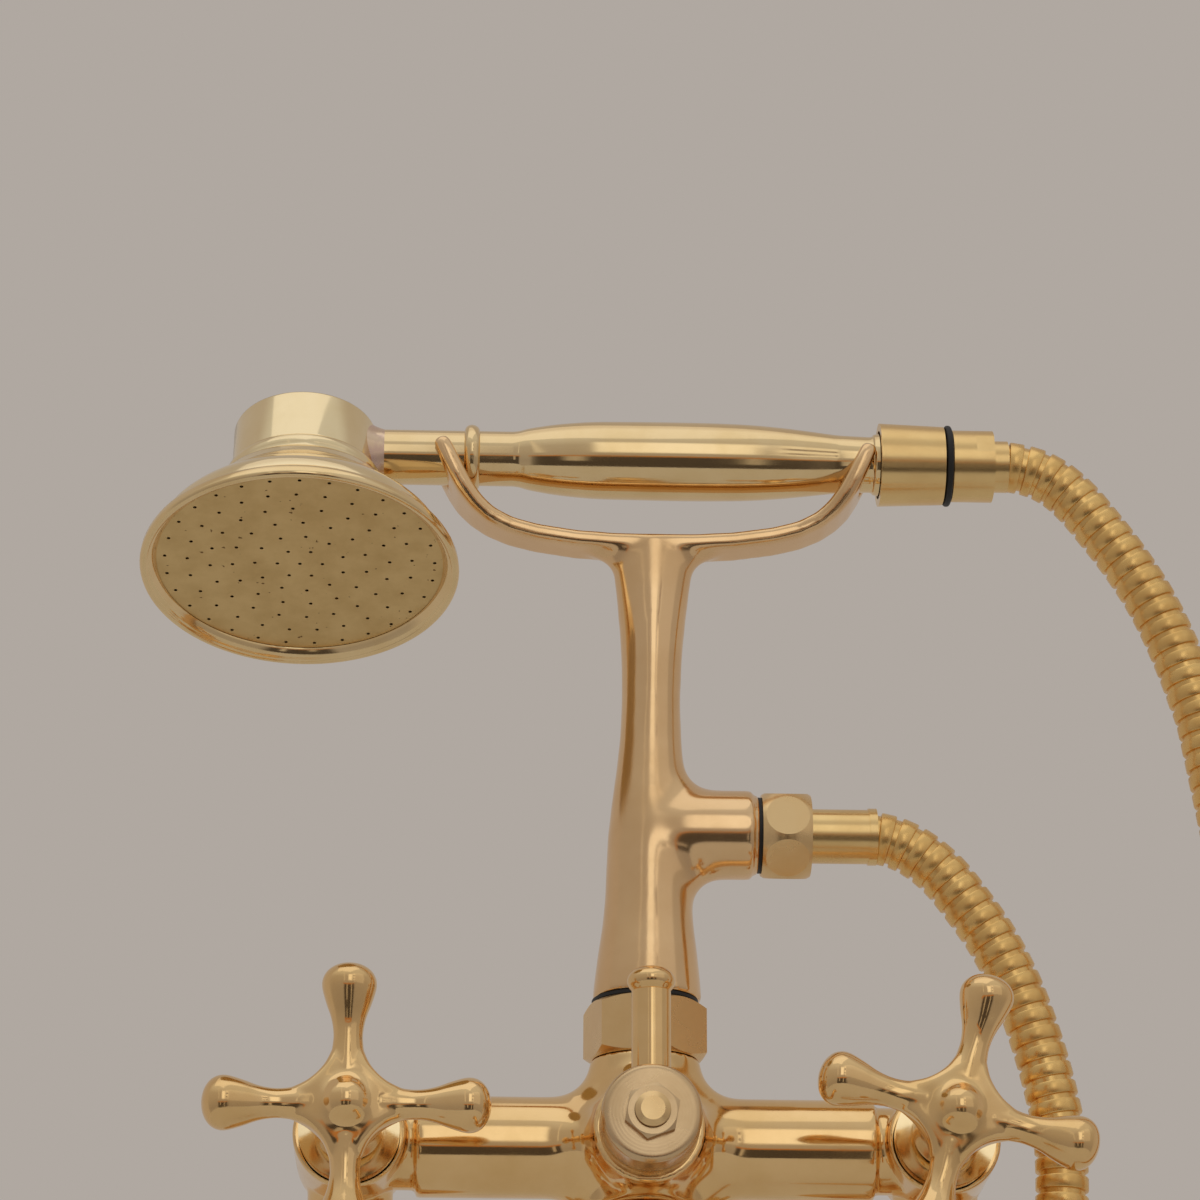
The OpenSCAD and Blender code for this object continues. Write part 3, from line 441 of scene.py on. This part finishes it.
def drawn_out(name, stations, sides=64):
    """A round bar drawn out upwards ring by ring.
    Stations are height, radius, or height, half width, half depth and sideways shift."""
    clear()
    full = [(s[0], s[1], s[2] if len(s) > 2 else s[1], s[3] if len(s) > 3 else 0.0) for s in stations]
    height, wide, deep, shift = full[0]
    bpy.ops.mesh.primitive_circle_add(vertices=sides, radius=1.0, fill_type="NGON")
    piece = bpy.context.object
    piece.name = piece.data.name = name
    bpy.ops.object.mode_set(mode="EDIT")
    bpy.ops.mesh.select_all(action="SELECT")
    bpy.ops.transform.resize(value=(wide * MM, deep * MM, 1), center_override=(0, 0, 0))
    bpy.ops.transform.translate(value=(shift * MM, 0, height * MM))
    for high, w, d, s in full[1:]:
        bpy.ops.mesh.extrude_region_move(
            TRANSFORM_OT_translate={"value": ((s - shift) * MM, 0, (high - height) * MM)})
        bpy.ops.transform.resize(value=(w / wide, d / deep, 1),
                                 center_override=(s * MM, 0, high * MM))
        height, wide, deep, shift = high, w, d, s
    bpy.ops.mesh.select_all(action="SELECT")
    bpy.ops.mesh.normals_make_consistent(inside=False)
    bpy.ops.object.mode_set(mode="OBJECT")
    return piece


def ring_out(name, stations, sides=96):
    """A drawn-out ring: its two end caps are taken off and the open edges bridged inside."""
    piece = drawn_out(name, stations, sides)
    bpy.ops.object.mode_set(mode="EDIT")
    bpy.ops.mesh.select_mode(type="FACE")
    bpy.ops.mesh.select_all(action="DESELECT")
    bpy.ops.mesh.select_face_by_sides(number=sides)
    bpy.ops.mesh.delete(type="FACE")
    bpy.ops.mesh.select_mode(type="EDGE")
    bpy.ops.mesh.select_non_manifold()
    bpy.ops.mesh.bridge_edge_loops()
    bpy.ops.mesh.select_mode(type="VERT")
    bpy.ops.mesh.select_all(action="SELECT")
    bpy.ops.mesh.normals_make_consistent(inside=False)
    bpy.ops.object.mode_set(mode="OBJECT")
    return piece


def put(piece, turn, place):
    """Turns and moves a piece and bakes its place into its mesh."""
    only(piece)
    piece.rotation_euler = turn
    piece.location = Vector(place) * MM
    bpy.ops.object.transform_apply(location=True, rotation=True, scale=True)
    return piece


def soften(piece, angle=30):
    only(piece)
    bpy.ops.object.shade_smooth_by_angle(angle=radians(angle))
    return piece


def apply_modifier(piece, kind, **values):
    only(piece)
    modifier = piece.modifiers.new(kind.lower(), kind)
    for key, value in values.items():
        setattr(modifier, key, value)
    bpy.ops.object.modifier_apply(modifier=modifier.name)


def carve(piece, tool, operation="DIFFERENCE"):
    apply_modifier(piece, "BOOLEAN", operation=operation, object=tool, solver="EXACT")
    bpy.data.objects.remove(tool, do_unlink=True)


def cut_flat(piece, place, outward):
    """Cuts off what lies beyond a plane and closes the cut."""
    only(piece)
    bpy.ops.object.mode_set(mode="EDIT")
    bpy.ops.mesh.select_all(action="SELECT")
    bpy.ops.mesh.bisect(plane_co=Vector(place) * MM, plane_no=outward, use_fill=True, clear_outer=True)
    bpy.ops.object.mode_set(mode="OBJECT")


def swollen(radius, grain, passes):
    """Radius that a bar needs so that it has the given one after smoothing."""
    return radius + passes * grain * grain / 8 / radius


def cast(name, pieces, grain, passes, fillet=0.0):
    """Joins overlapping pieces into one casting whose inside corners are polished round.
    A fillet is what a ball of that radius leaves: the casting is swollen by it and shrunk again."""
    clear()
    for piece in pieces:
        piece.select_set(True)
    bpy.context.view_layer.objects.active = pieces[0]
    bpy.ops.object.join()
    casting = bpy.context.object
    casting.name = casting.data.name = name
    apply_modifier(casting, "REMESH", mode="VOXEL", voxel_size=grain * MM)
    for step in (fillet, -fillet) if fillet else ():
        apply_modifier(casting, "SMOOTH", factor=0.5, iterations=6)
        apply_modifier(casting, "DISPLACE", strength=step * MM, mid_level=0.0)
        apply_modifier(casting, "REMESH", mode="VOXEL", voxel_size=grain * MM)
    apply_modifier(casting, "SMOOTH", factor=0.5, iterations=passes)
    bpy.ops.object.shade_smooth()
    return casting


def finish_piece(piece, body, material, slot, *nodes):
    """Gives a piece its finish and the body it rides on, and hides the solids that it stands for. Its slot is
    not used.
    """
    dress(piece, material)
    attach(piece, body)
    if nodes:
        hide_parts(*nodes)


# Shower hose

FERRULE_MOUTH_X = 68.8
UPPER_RUN = [(111.6, 215), (119.8, 213.3), (126.8, 209.5), (132.6, 204.1), (137.5, 197.9), (146.7, 184.9),
             (154.7, 170.9), (160.9, 156.1), (165.9, 140.6), (169.5, 125)]
LOOP_RUN = [(178.5, 60), (189, -60), (198, -170), (202.3, -255), (203, -326), (194.4, -358),
            (171, -381.4), (139, -390), (107, -381.4), (83.6, -358), (75, -326), (76.5, -265),
            (85, -195), (99, -120), (112, -62), (119.5, -24)]
LOWER_RUN = [(120.7, 2.2), (118.1, 19.6), (114.2, 35.2), (109.1, 50.3), (102.3, 64.4), (93.6, 77.4),
             (88.7, 83.6), (82.9, 88.9), (76.2, 92.9), (FERRULE_MOUTH_X, 94.9)]
# X and height above the barrel, from the hand shower's end to the outlet's
ROUTE = [(97, 215), (104.6, 215)] + UPPER_RUN + LOOP_RUN + LOWER_RUN + [(61.8, 95.2), (53.4, 95.2)]
HOSE_R = 7.75
HOSE_CORE = 6.8
HOSE_SIDES = 24
HOSE_PITCH = 5.5
# Smooth length in each ferrule
HOSE_PLAIN = 14.6
# One turn of the strip: share of the pitch, and radius
STRIP = [(0.02, 6.75), (0.05, 7.55), (0.10, HOSE_R), (0.68, HOSE_R), (0.74, 7.55), (0.77, 6.75)]


def make_hose():
    """Strip-wound hose: rings of brass strip with a narrow gap between them, along the route."""
    line = smooth_run(ROUTE, 8)
    reach = [0.0]
    for a, b in zip(line, line[1:]):
        reach.append(reach[-1] + hypot(b[0] - a[0], b[1] - a[1]))
    length = reach[-1]

    def at(s):
        s = min(max(s, 0.0), length)
        low, high = 0, len(reach) - 1
        while high - low > 1:
            mid = (low + high) // 2
            low, high = (mid, high) if reach[mid] <= s else (low, mid)
        t = (s - reach[low]) / (reach[high] - reach[low])
        return (line[low][0] + t * (line[high][0] - line[low][0]),
                line[low][1] + t * (line[high][1] - line[low][1]))

    def heading(s):
        a, b = at(s - 2.0), at(s + 2.0)
        return atan2(b[1] - a[1], b[0] - a[0])

    count = int((length - 2 * HOSE_PLAIN) / HOSE_PITCH)
    pitch = (length - 2 * HOSE_PLAIN) / count
    edge = HOSE_PLAIN - 0.2
    rings = [(0.0, HOSE_CORE), (edge, HOSE_CORE)]
    for i in range(count):
        rings += [(HOSE_PLAIN + pitch * (i + f), r) for f, r in STRIP]
    rings += [(length - edge, HOSE_CORE), (length, HOSE_CORE)]
    sides = HOSE_SIDES
    points, faces = [], []
    for s, r in rings:
        x, z = at(s)
        a = heading(s)
        for k in range(sides):
            t = 2 * pi * k / sides
            points.append(((x - sin(a) * r * cos(t)) * MM, (AXIS_Y + r * sin(t)) * MM,
                           (BARREL_Z + z + cos(a) * r * cos(t)) * MM))
    for i in range(len(rings) - 1):
        for k in range(sides):
            a, b = i * sides + k, i * sides + (k + 1) % sides
            faces.append((a, a + sides, b + sides, b))
    faces.append(tuple(range(sides)))
    faces.append(tuple(reversed(range((len(rings) - 1) * sides, len(rings) * sides))))
    mesh = bpy.data.meshes.new("wound_hose")
    mesh.from_pydata(points, [], faces)
    hose = bpy.data.objects.new("wound_hose", mesh)
    bpy.context.scene.collection.objects.link(hose)
    only(hose)
    bpy.ops.object.mode_set(mode="EDIT")
    bpy.ops.mesh.select_all(action="SELECT")
    bpy.ops.mesh.normals_make_consistent(inside=False)
    bpy.ops.object.mode_set(mode="OBJECT")
    soften(hose, 40)
    dress(hose, WOUND)
    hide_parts("shower_hose")
    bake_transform(hose)


# Castings

STRAP_ROUND = 0.55
FORK_SLOT_H = 20.0


def swept(name, stations):
    """A flat strap drawn along a path in the X-Z plane.
    Stations are X, Z, slope in degrees, half thickness and half depth."""
    clear()
    x, z, slope, thick, deep = stations[0]
    bpy.ops.mesh.primitive_plane_add(size=2.0)
    piece = bpy.context.object
    piece.name = piece.data.name = name
    bpy.ops.object.mode_set(mode="EDIT")
    bpy.ops.mesh.select_all(action="SELECT")
    bpy.ops.transform.resize(value=(thick * MM, deep * MM, 1), center_override=(0, 0, 0))
    bpy.ops.mesh.bevel(offset=STRAP_ROUND * thick * MM, segments=5, affect="VERTICES")
    bpy.ops.mesh.select_all(action="SELECT")
    bpy.ops.transform.rotate(value=TURN * radians(90 - slope), orient_axis="Y", center_override=(0, 0, 0))
    bpy.ops.transform.translate(value=(x * MM, 0, z * MM))
    for next_x, next_z, next_slope, next_thick, next_deep in stations[1:]:
        centre = (next_x * MM, 0, next_z * MM)
        bpy.ops.mesh.extrude_region_move(
            TRANSFORM_OT_translate={"value": ((next_x - x) * MM, 0, (next_z - z) * MM)})
        bpy.ops.transform.rotate(value=TURN * radians(slope - next_slope), orient_axis="Y",
                                 center_override=centre)
        k = next_thick / thick
        bpy.ops.transform.resize(value=(k, next_deep / deep, k), center_override=centre)
        x, z, slope, thick, deep = next_x, next_z, next_slope, next_thick, next_deep
    bpy.ops.mesh.select_all(action="SELECT")
    bpy.ops.mesh.normals_make_consistent(inside=False)
    bpy.ops.object.mode_set(mode="OBJECT")
    return piece


def slot_tool(radius, start, end):
    """A round-bottomed slot along X, open at the top, to carve a fork."""
    tool = drawn_out("slot_tool", [(start, radius), (end, radius)], 48)
    put(tool, TO_RIGHT, (0, 0, 0))
    clear()
    bpy.ops.mesh.primitive_cube_add(size=1.0)
    block = bpy.context.object
    block.scale = ((end - start) * MM, 2 * radius * MM, FORK_SLOT_H * MM)
    put(block, UPWARDS, ((start + end) / 2, 0, FORK_SLOT_H / 2))
    carve(tool, block, "UNION")
    return tool


# Half of the strap: X, height, slope in degrees, half thickness and half depth
STRAP = [(0, -28.6, 0, 2.5, 7.4), (12, -28.5, 1, 2.5, 7.4), (24, -27.7, 5, 2.5, 7.4),
         (36, -25.9, 11, 2.5, 7.4), (44, -23.8, 18, 2.5, 7.6), (50.2, -20.8, 30, 2.5, 8.4),
         (54.5, -17.2, 44, 2.6, 9.8),
         (57.9, -13.1, 55, 2.75, 11.4), (60.6, -8.4, 60, 2.8, 12.5), (63.1, -3.4, 63, 2.75, 13.0),
         (65.1, 0.8, 64, 2.7, 12.7), (66.0, 2.6, 65, 2.2, 12.0)]
# Stem, side outlet and the flare under the strap: height, half width, and half depth where it differs
STEM = [(28, 16.0), (44, 16.0), (49, 15.6), (58, 14.6), (66, 13.5), (74, 12.8), (84, 12.6), (95.2, 12.2),
        (105.2, 11.2), (115.2, 10.0), (125, 9.1), (137, 8.7), (147, 8.9, 8.75), (157, 9.6, 8.8),
        (165, 10.4, 8.6), (172, 11.2, 8.3), (178, 12.0, 7.9), (183, 12.6, 7.5), (202, 13.0, 7.2)]
BRANCH = [(0, 12.0), (12, 13.2), (48, 13.2)]
THROAT = [(174, 11.2, 7.4), (177.6, 11.7, 7.4), (179.4, 12.3, 7.3), (180.8, 13.2, 7.2), (182, 14.7, 7.1),
          (182.8, 16.4, 7.0), (183.4, 18.5, 6.9), (184, 19.2, 6.8)]
TAIL = [(36.8, 11), (48, 11)]
NIPPLE = [(28, 11.8), (33.5, 11.8), (33.6, 10.3), (42, 10.3)]
FOOT_Z = 43.9
STEM_TOP = 188.0
STEM_SHIFT = 0.6
BRANCH_END = 32.0
THROAT_SHIFT = CRADLE_SHIFT - 0.4
# The fork's slots: radius under the grip's end and under the tube, and reach along X
FORK_SLOTS = {1: 9.35, -1: 8.85}
SLOT_FROM = 50
SLOT_TO = 76
# Grain and smoothing passes of each casting
TEE_CAST = (1.0, 24)
TEE_FILLET = 7.0
CRADLE_CAST = (0.6, 6)
CRADLE_FILLET = 6.0
RISER_CAST = (0.56, 6)


def make_riser():
    """Stem, side outlet and forked cradle, cast in one. The stem leans a little towards the outlet."""
    slope = (CRADLE_SHIFT - STEM_SHIFT) / (CRADLE_Z - BARREL_Z - FOOT_Z)
    lean = [(s[0], swollen(s[1], *TEE_CAST), swollen(s[-1], *TEE_CAST),
             STEM_SHIFT + slope * max(0.0, s[0] - FOOT_Z)) for s in STEM]
    stem = put(drawn_out("stem", lean), UPWARDS, (0, AXIS_Y, BARREL_Z))
    branch = put(drawn_out("branch", [(x, swollen(r, *TEE_CAST)) for x, r in BRANCH]), TO_RIGHT,
                 (0, AXIS_Y, OUTLET_Z))
    tee = cast("tee", [stem, branch], *TEE_CAST, TEE_FILLET)
    cut_flat(tee, (0, 0, BARREL_Z + FOOT_Z), (0, 0, -1))
    cut_flat(tee, (0, 0, BARREL_Z + STEM_TOP), (0, 0, 1))
    cut_flat(tee, (BRANCH_END, 0, 0), (1, 0, 0))
    tail = put(drawn_out("tail", TAIL), UPWARDS, (0, AXIS_Y, BARREL_Z))
    nipple = put(drawn_out("nipple", NIPPLE), TO_RIGHT, (0, AXIS_Y, OUTLET_Z))
    throat = put(drawn_out("throat", THROAT), UPWARDS, (THROAT_SHIFT, AXIS_Y, BARREL_Z))
    arms = []
    for side, radius in FORK_SLOTS.items():
        arm = swept("arm", [(side * x, z, side * slope + (0 if side > 0 else 180), t, d)
                            for x, z, slope, t, d in STRAP])
        carve(arm, slot_tool(radius, *sorted((side * SLOT_FROM, side * SLOT_TO))))
        arms.append(put(arm, UPWARDS, (CRADLE_SHIFT, AXIS_Y, CRADLE_Z)))
    cradle = cast("cradle", [tee, throat] + arms, *CRADLE_CAST, CRADLE_FILLET)
    riser = cast("riser_casting", [cradle, tail, nipple], *RISER_CAST)
    finish_piece(riser, "mixer", CAST, "polished_brass", "riser")


CORE_CAST = (1.0, 24)
CORE_FILLET = 9.2
BODY_CAST = (0.68, 8)
BARREL_R = 14.6
BOSS_R = 15.8
# How far the bars reach before the fillets are made and the ends cut
BARREL_BAR = 92
POST_BAR = (-44, 50)
BOSS_BAR = (-4, 52)
BOSS_TOP = 25.5
BOSS_BOTTOM = -18.0
SEAT_OUT = 28.0
BARREL_END = 66.0
THREAD_R = 13.0
THREAD_REACH = 34.5
NECK_R = 12.6
BULB = [(-24, 1.0)] + corner(-16, 8.2, 8.0, -90, 0, 8) + corner(16.9, 15.0, 1.2, 0, 80, 4)
LEG = [(-37, 11), (-31.2, 11), (-31, 12.0), (-30.6, 12.4), (0, 12.4)]
RECESS = [(-3, 11.5), (14.4, 11.5), (14.5, 15.25), (20, 15.25)]


def make_body():
    """Barrel, centre boss, valve bulbs and inlet legs, cast in one."""
    middle = (0, AXIS_Y, BARREL_Z)
    barrel_r, boss_r = swollen(BARREL_R, *CORE_CAST), swollen(BOSS_R, *CORE_CAST)
    barrel = put(drawn_out("barrel", [(-BARREL_BAR, barrel_r), (BARREL_BAR, barrel_r)]), TO_RIGHT, middle)
    post = put(drawn_out("post", [(z, boss_r) for z in POST_BAR]), UPWARDS, middle)
    boss = put(drawn_out("boss", [(out, boss_r) for out in BOSS_BAR]), TO_FRONT, middle)
    core = cast("core", [barrel, post, boss], *CORE_CAST, CORE_FILLET)
    cut_flat(core, (0, 0, BARREL_Z + BOSS_TOP), (0, 0, 1))
    cut_flat(core, (0, 0, BARREL_Z + BOSS_BOTTOM), (0, 0, -1))
    cut_flat(core, (0, AXIS_Y - SEAT_OUT, 0), (0, -1, 0))
    for side in (-1, 1):
        cut_flat(core, (side * BARREL_END, 0, 0), (side, 0, 0))
    thread = put(drawn_out("thread", [(-THREAD_REACH, THREAD_R), (THREAD_REACH, THREAD_R)]), UPWARDS, middle)
    neck = put(drawn_out("neck", [(-VALVE_X, NECK_R), (VALVE_X, NECK_R)]), TO_RIGHT, middle)
    pieces = [core, thread, neck]
    for side in (-1, 1):
        pieces.append(put(drawn_out("bulb", BULB), TO_FRONT, (side * VALVE_X, AXIS_Y, BARREL_Z)))
        pieces.append(put(drawn_out("leg", LEG), UPWARDS, (side * VALVE_X, LEG_Y, BARREL_Z)))
    body = cast("body_casting", pieces, *BODY_CAST)
    for side in (-1, 1):
        carve(body, put(drawn_out("recess", RECESS), TO_FRONT, (side * VALVE_X, AXIS_Y, BARREL_Z)))
    finish_piece(body, "mixer", POLISHED, "polished_brass", "valve_body")


# Handle arm: distance from the middle, half width and half depth, which are equal on the ball
ARM_ROOT = [(0, 5.4, 5.4), (6, 5.4, 5.2), (10, 5.2, 4.9), (13, 4.8, 4.5), (16, 4.4, 4.2), (19, 4.15, 4.1)]
ARM_BALL = [(22, 4.4), (25, 5.1), (28, 6.2), (30.5, 7.0), (32.5, 7.55), (34.2, 7.75), (36, 7.4), (37.8, 6.3),
            (39.2, 4.4), (39.9, 2.4), (40.2, 0.6)]
ARM = ARM_ROOT + [(x, r, r) for x, r in ARM_BALL]
ARM_OUT = 51.0
# Hub, and the web between the arms: distance in front of the barrel, and radius
HUB = [(22.9, 10.0), (23.4, 10.3), (30, 10.2), (37, 10.2), (42, 10.8), (46, 11.2), (50, 10.4), (53, 8.8),
       (55.4, 7.4), (57.2, 6.3), (58.8, 5.3), (60.2, 3.9), (61, 2.2), (61.3, 1.0), (61.4, 0.4)]
WEB = [(46.0, 8.0), (46.4, 11.0), (47.2, 14.0), (48.6, 16.6), (50, 17.5), (52, 17.5), (53.4, 16.6),
       (54.8, 14.0), (55.6, 11.0), (56.0, 8.0)]
WEB_HOLLOW = 13.6
WEB_HALF = 4.4
HOLLOW_BAR = (40, 62)
SOCKET = [(20, 8.7), (37.2, 8.7)]
HUB_CAST = (0.8, 36)
HANDLE_CAST = (0.42, 18)


def make_handles():
    """Cross handle: four ball-ended arms flowing into a domed hub; one casting, two copies."""
    hub = put(drawn_out("hub", smooth_run(HUB, 3), 48), TO_FRONT, (0, 0, 0))
    web = put(drawn_out("web", WEB), TO_FRONT, (0, 0, 0))
    reach = WEB_HOLLOW + WEB_HALF
    for x in (-reach, reach):
        for z in (-reach, reach):
            hollow = drawn_out("hollow", [(out, WEB_HOLLOW) for out in HOLLOW_BAR])
            carve(web, put(hollow, TO_FRONT, (x, 0, z)))
    pieces = [cast("hub_core", [hub, web], *HUB_CAST)]
    for k in range(4):
        arm = put(drawn_out("arm", smooth_run(ARM, 3), 48), UPWARDS, (0, 0, 0))
        pieces.append(put(arm, (0, radians(90 * k), 0), (0, -ARM_OUT, 0)))
    handle = cast("hot_cross_handle", pieces, *HANDLE_CAST)
    carve(handle, put(drawn_out("socket", SOCKET, 48), TO_FRONT, (0, 0, 0)))
    only(handle)
    bpy.ops.object.duplicate()
    other = bpy.context.object
    other.name = other.data.name = "cold_cross_handle"
    for piece, side, turn in ((handle, -1, 0.0), (other, 1, radians(COLD_TURN))):
        put(piece, (0, turn, 0), (side * VALVE_X, AXIS_Y, BARREL_Z))
        name = "hot" if side < 0 else "cold"
        finish_piece(piece, name + "_control", POLISHED, "polished_brass", name + "_handle")


# Turned pieces

DISC = corner(34, 13.2, 1.0, -90, 0, 4) + corner(44, 12.2, 2.0, 0, 90, 6) + [(46, 5.1), (44, 5.05)]
KNOB_MID = 39.2
KNOB_HALF_H = 4.4
KNOB_R = 6.9
KNOB = [(KNOB_MID + KNOB_HALF_H * sin(radians(a)), KNOB_R * cos(radians(a))) for a in range(-36, 88, 8)]
LEVER = [(10.5, 5.6), (36.1, 5.6), (36.35, 5.45)] + KNOB + [(43.6, 0.3)]
LEVER_OUT = 39.5


def make_lever():
    """The diverter's faced disc, and the rod that stands up from it with a flattened knob."""
    hub = drawn_out("diverter_disc", DISC)
    soften(put(hub, TO_FRONT, (0, AXIS_Y, BARREL_Z)))
    finish_piece(hub, "diverter", FACED, "satin_brass", "diverter_hub")
    rod = drawn_out("lever", LEVER)
    soften(put(rod, UPWARDS, (0, AXIS_Y - LEVER_OUT, BARREL_Z)))
    finish_piece(rod, "diverter", POLISHED, "polished_brass", "lever_rod")


GRIP = [(-85.6, 8.45), (-40.5, 8.45), (-38.5, 8.7), (-35.5, 9.5), (-31, 10.3), (-26, 11.0), (-19, 11.65),
        (-12, 11.95), (4, 12.1), (14, 12.1), (22.6, 12.0), (32, 11.7), (41, 11.05), (49, 10.2), (56.5, 9.3),
        (60, 8.95), (67, 8.65), (69.6, 8.65), (70.4, 9.3), (71.8, 9.6)]
COLLAR = [(-55.4, 8.5), (-55.2, 9.1), (-54.8, 9.75), (-54.1, 10.2), (-53.1, 10.4), (-52.1, 10.2),
          (-51.3, 9.75), (-50.8, 9.1), (-50.6, 8.5)]


def make_hand_shower():
    """Tube and swollen grip in one, and the collar ring beside the fork."""
    grip = drawn_out("grip", [GRIP[0]] + smooth_run(GRIP[1:], 4))
    soften(put(grip, TO_RIGHT, (0, AXIS_Y, CRADLE_Z)), 25)
    finish_piece(grip, "handset", PALE, "polished_brass", "handset_handle")
    collar = drawn_out("collar", COLLAR)
    soften(put(collar, TO_RIGHT, (0, AXIS_Y, CRADLE_Z)), 60)
    finish_piece(collar, "handset", PALE, "polished_brass", "handset_collar")


# Rose along its own axis: bell, two beads and neck with its cap
ROSE = [(-40, 42.8), (-39.6, 43.6), (-38.8, 44.6), (-36.8, 44.2), (-34.6, 43.0), (-32.4, 41.2),
        (-30.2, 39.0), (-28.2, 36.8), (-26.2, 34.5), (-24.2, 32.2), (-22.4, 30.3), (-20.4, 28.7),
        (-18.8, 27.9), (-17.4, 27.1), (-16.4, 26.1), (-15.6, 25.0), (-15.2, 24.2), (-14.6, 24.0),
        (-13.6, 24.25), (-12.4, 24.35), (-11.2, 24.15), (-10.2, 23.5), (-9.6, 22.6), (-9.2, 22.0),
        (-8.4, 21.9), (7.0, 21.9), (7.5, 21.75), (7.8, 21.3), (7.82, 1.0)]
LIP = [(-41.6, 43.0), (-41.9, 43.1), (-42.5, 43.5), (-43.1, 44.0), (-43.7, 44.6), (-44.15, 45.2)] + corner(
    -43.6, 46.6, 1.3, -150, 15, 11) + [
    (-42.2, 47.75), (-41.2, 47.3), (-40.5, 46.6), (-40.1, 45.6), (-40.05, 43.85), (-41.6, 43.85)]
# The neck's straight stretch, which the solder follows
NECK_SLAB = [(-9.2, 60), (7.5, 60)]
# How much deeper the plate lies than its solid, and the gap that counts as one corner
PLATE_RISE = 1.7
SAME_CORNER = 0.0001
SOLDER_RUN = [(15.5, 12.6), (17.5, 11.6), (19, 10.8), (20.5, 10.0), (21.6, 9.4), (22.8, 8.95), (23.8, 8.65),
              (24.4, 8.5)]


def make_rose():
    """Bell whose closed inside is painted near-black as painted shade, solder fillet on its neck, rolled lip
    and the drilled plate within it.
    """
    tilt = (-radians(ROSE_TILT), 0, 0)
    place = (ROSE_X, AXIS_Y, CRADLE_Z)
    bell = drawn_out("rose_bell", ROSE, 96)
    soften(put(bell, tilt, place), 40)
    # The bell gets the paler brass as a painted sheen of the bright window above it
    finish_piece(bell, "handset", PAINTED_SHEEN_BRASS, "polished_brass", "rose_shell", "rose_cap")
    # The bell's largest face, its flat inside cap, gets the near-black painted shade
    bell.data.materials.append(SHADE)
    inside = max(bell.data.polygons, key=lambda face: face.area)
    inside.material_index = 1
    solder = drawn_out("solder_fillet", SOLDER_RUN)
    put(solder, TO_RIGHT, place)
    carve(solder, put(drawn_out("slab", NECK_SLAB), tilt, place), "INTERSECT")
    soften(solder, 40)
    finish_piece(solder, "handset", SOLDER, "polished_brass", "solder_bead")
    rim = ring_out("rose_lip", LIP)
    soften(put(rim, tilt, place), 50)
    finish_piece(rim, "handset", PALE, "polished_brass", "rose_rim")
    only(frame["nodes"]["rose_face"])
    bpy.ops.object.duplicate()
    plate = bpy.context.object
    plate.name = plate.data.name = "spray_plate"
    bpy.ops.object.mode_set(mode="EDIT")
    bpy.ops.mesh.select_all(action="SELECT")
    bpy.ops.mesh.remove_doubles(threshold=SAME_CORNER * MM)
    bpy.ops.object.mode_set(mode="OBJECT")
    bpy.ops.mesh.customdata_custom_splitnormals_clear()
    bpy.ops.object.shade_flat()
    rise = (0, PLATE_RISE * sin(radians(ROSE_TILT)), PLATE_RISE * cos(radians(ROSE_TILT)))
    put(plate, UPWARDS, rise)
    finish_piece(plate, "handset", PLATE, "plate_brass", "rose_face")


# Scene

FLOOR_R = 800.0
FLOOR_PLACE = (30.0, -50.0, -345.0)


def make_floor():
    """A pale round floor under the hanging hose."""
    clear()
    bpy.ops.mesh.primitive_circle_add(vertices=128, radius=FLOOR_R * MM, fill_type="NGON",
                                      location=Vector(FLOOR_PLACE) * MM)
    floor = bpy.context.object
    floor.name = "floor"
    dress(floor, plain("pale_floor", (0.86, 0.83, 0.79, 1), 0.7, 900.0))


bpy.context.scene.view_settings.view_transform = "Standard"
aim_camera()
make_hose()
dress_solids()
make_riser()
make_body()
make_handles()
make_lever()
make_hand_shower()
make_rose()
room()
make_floor()
for lamp, values in LAMPS.items():
    soft_light(lamp, *values)
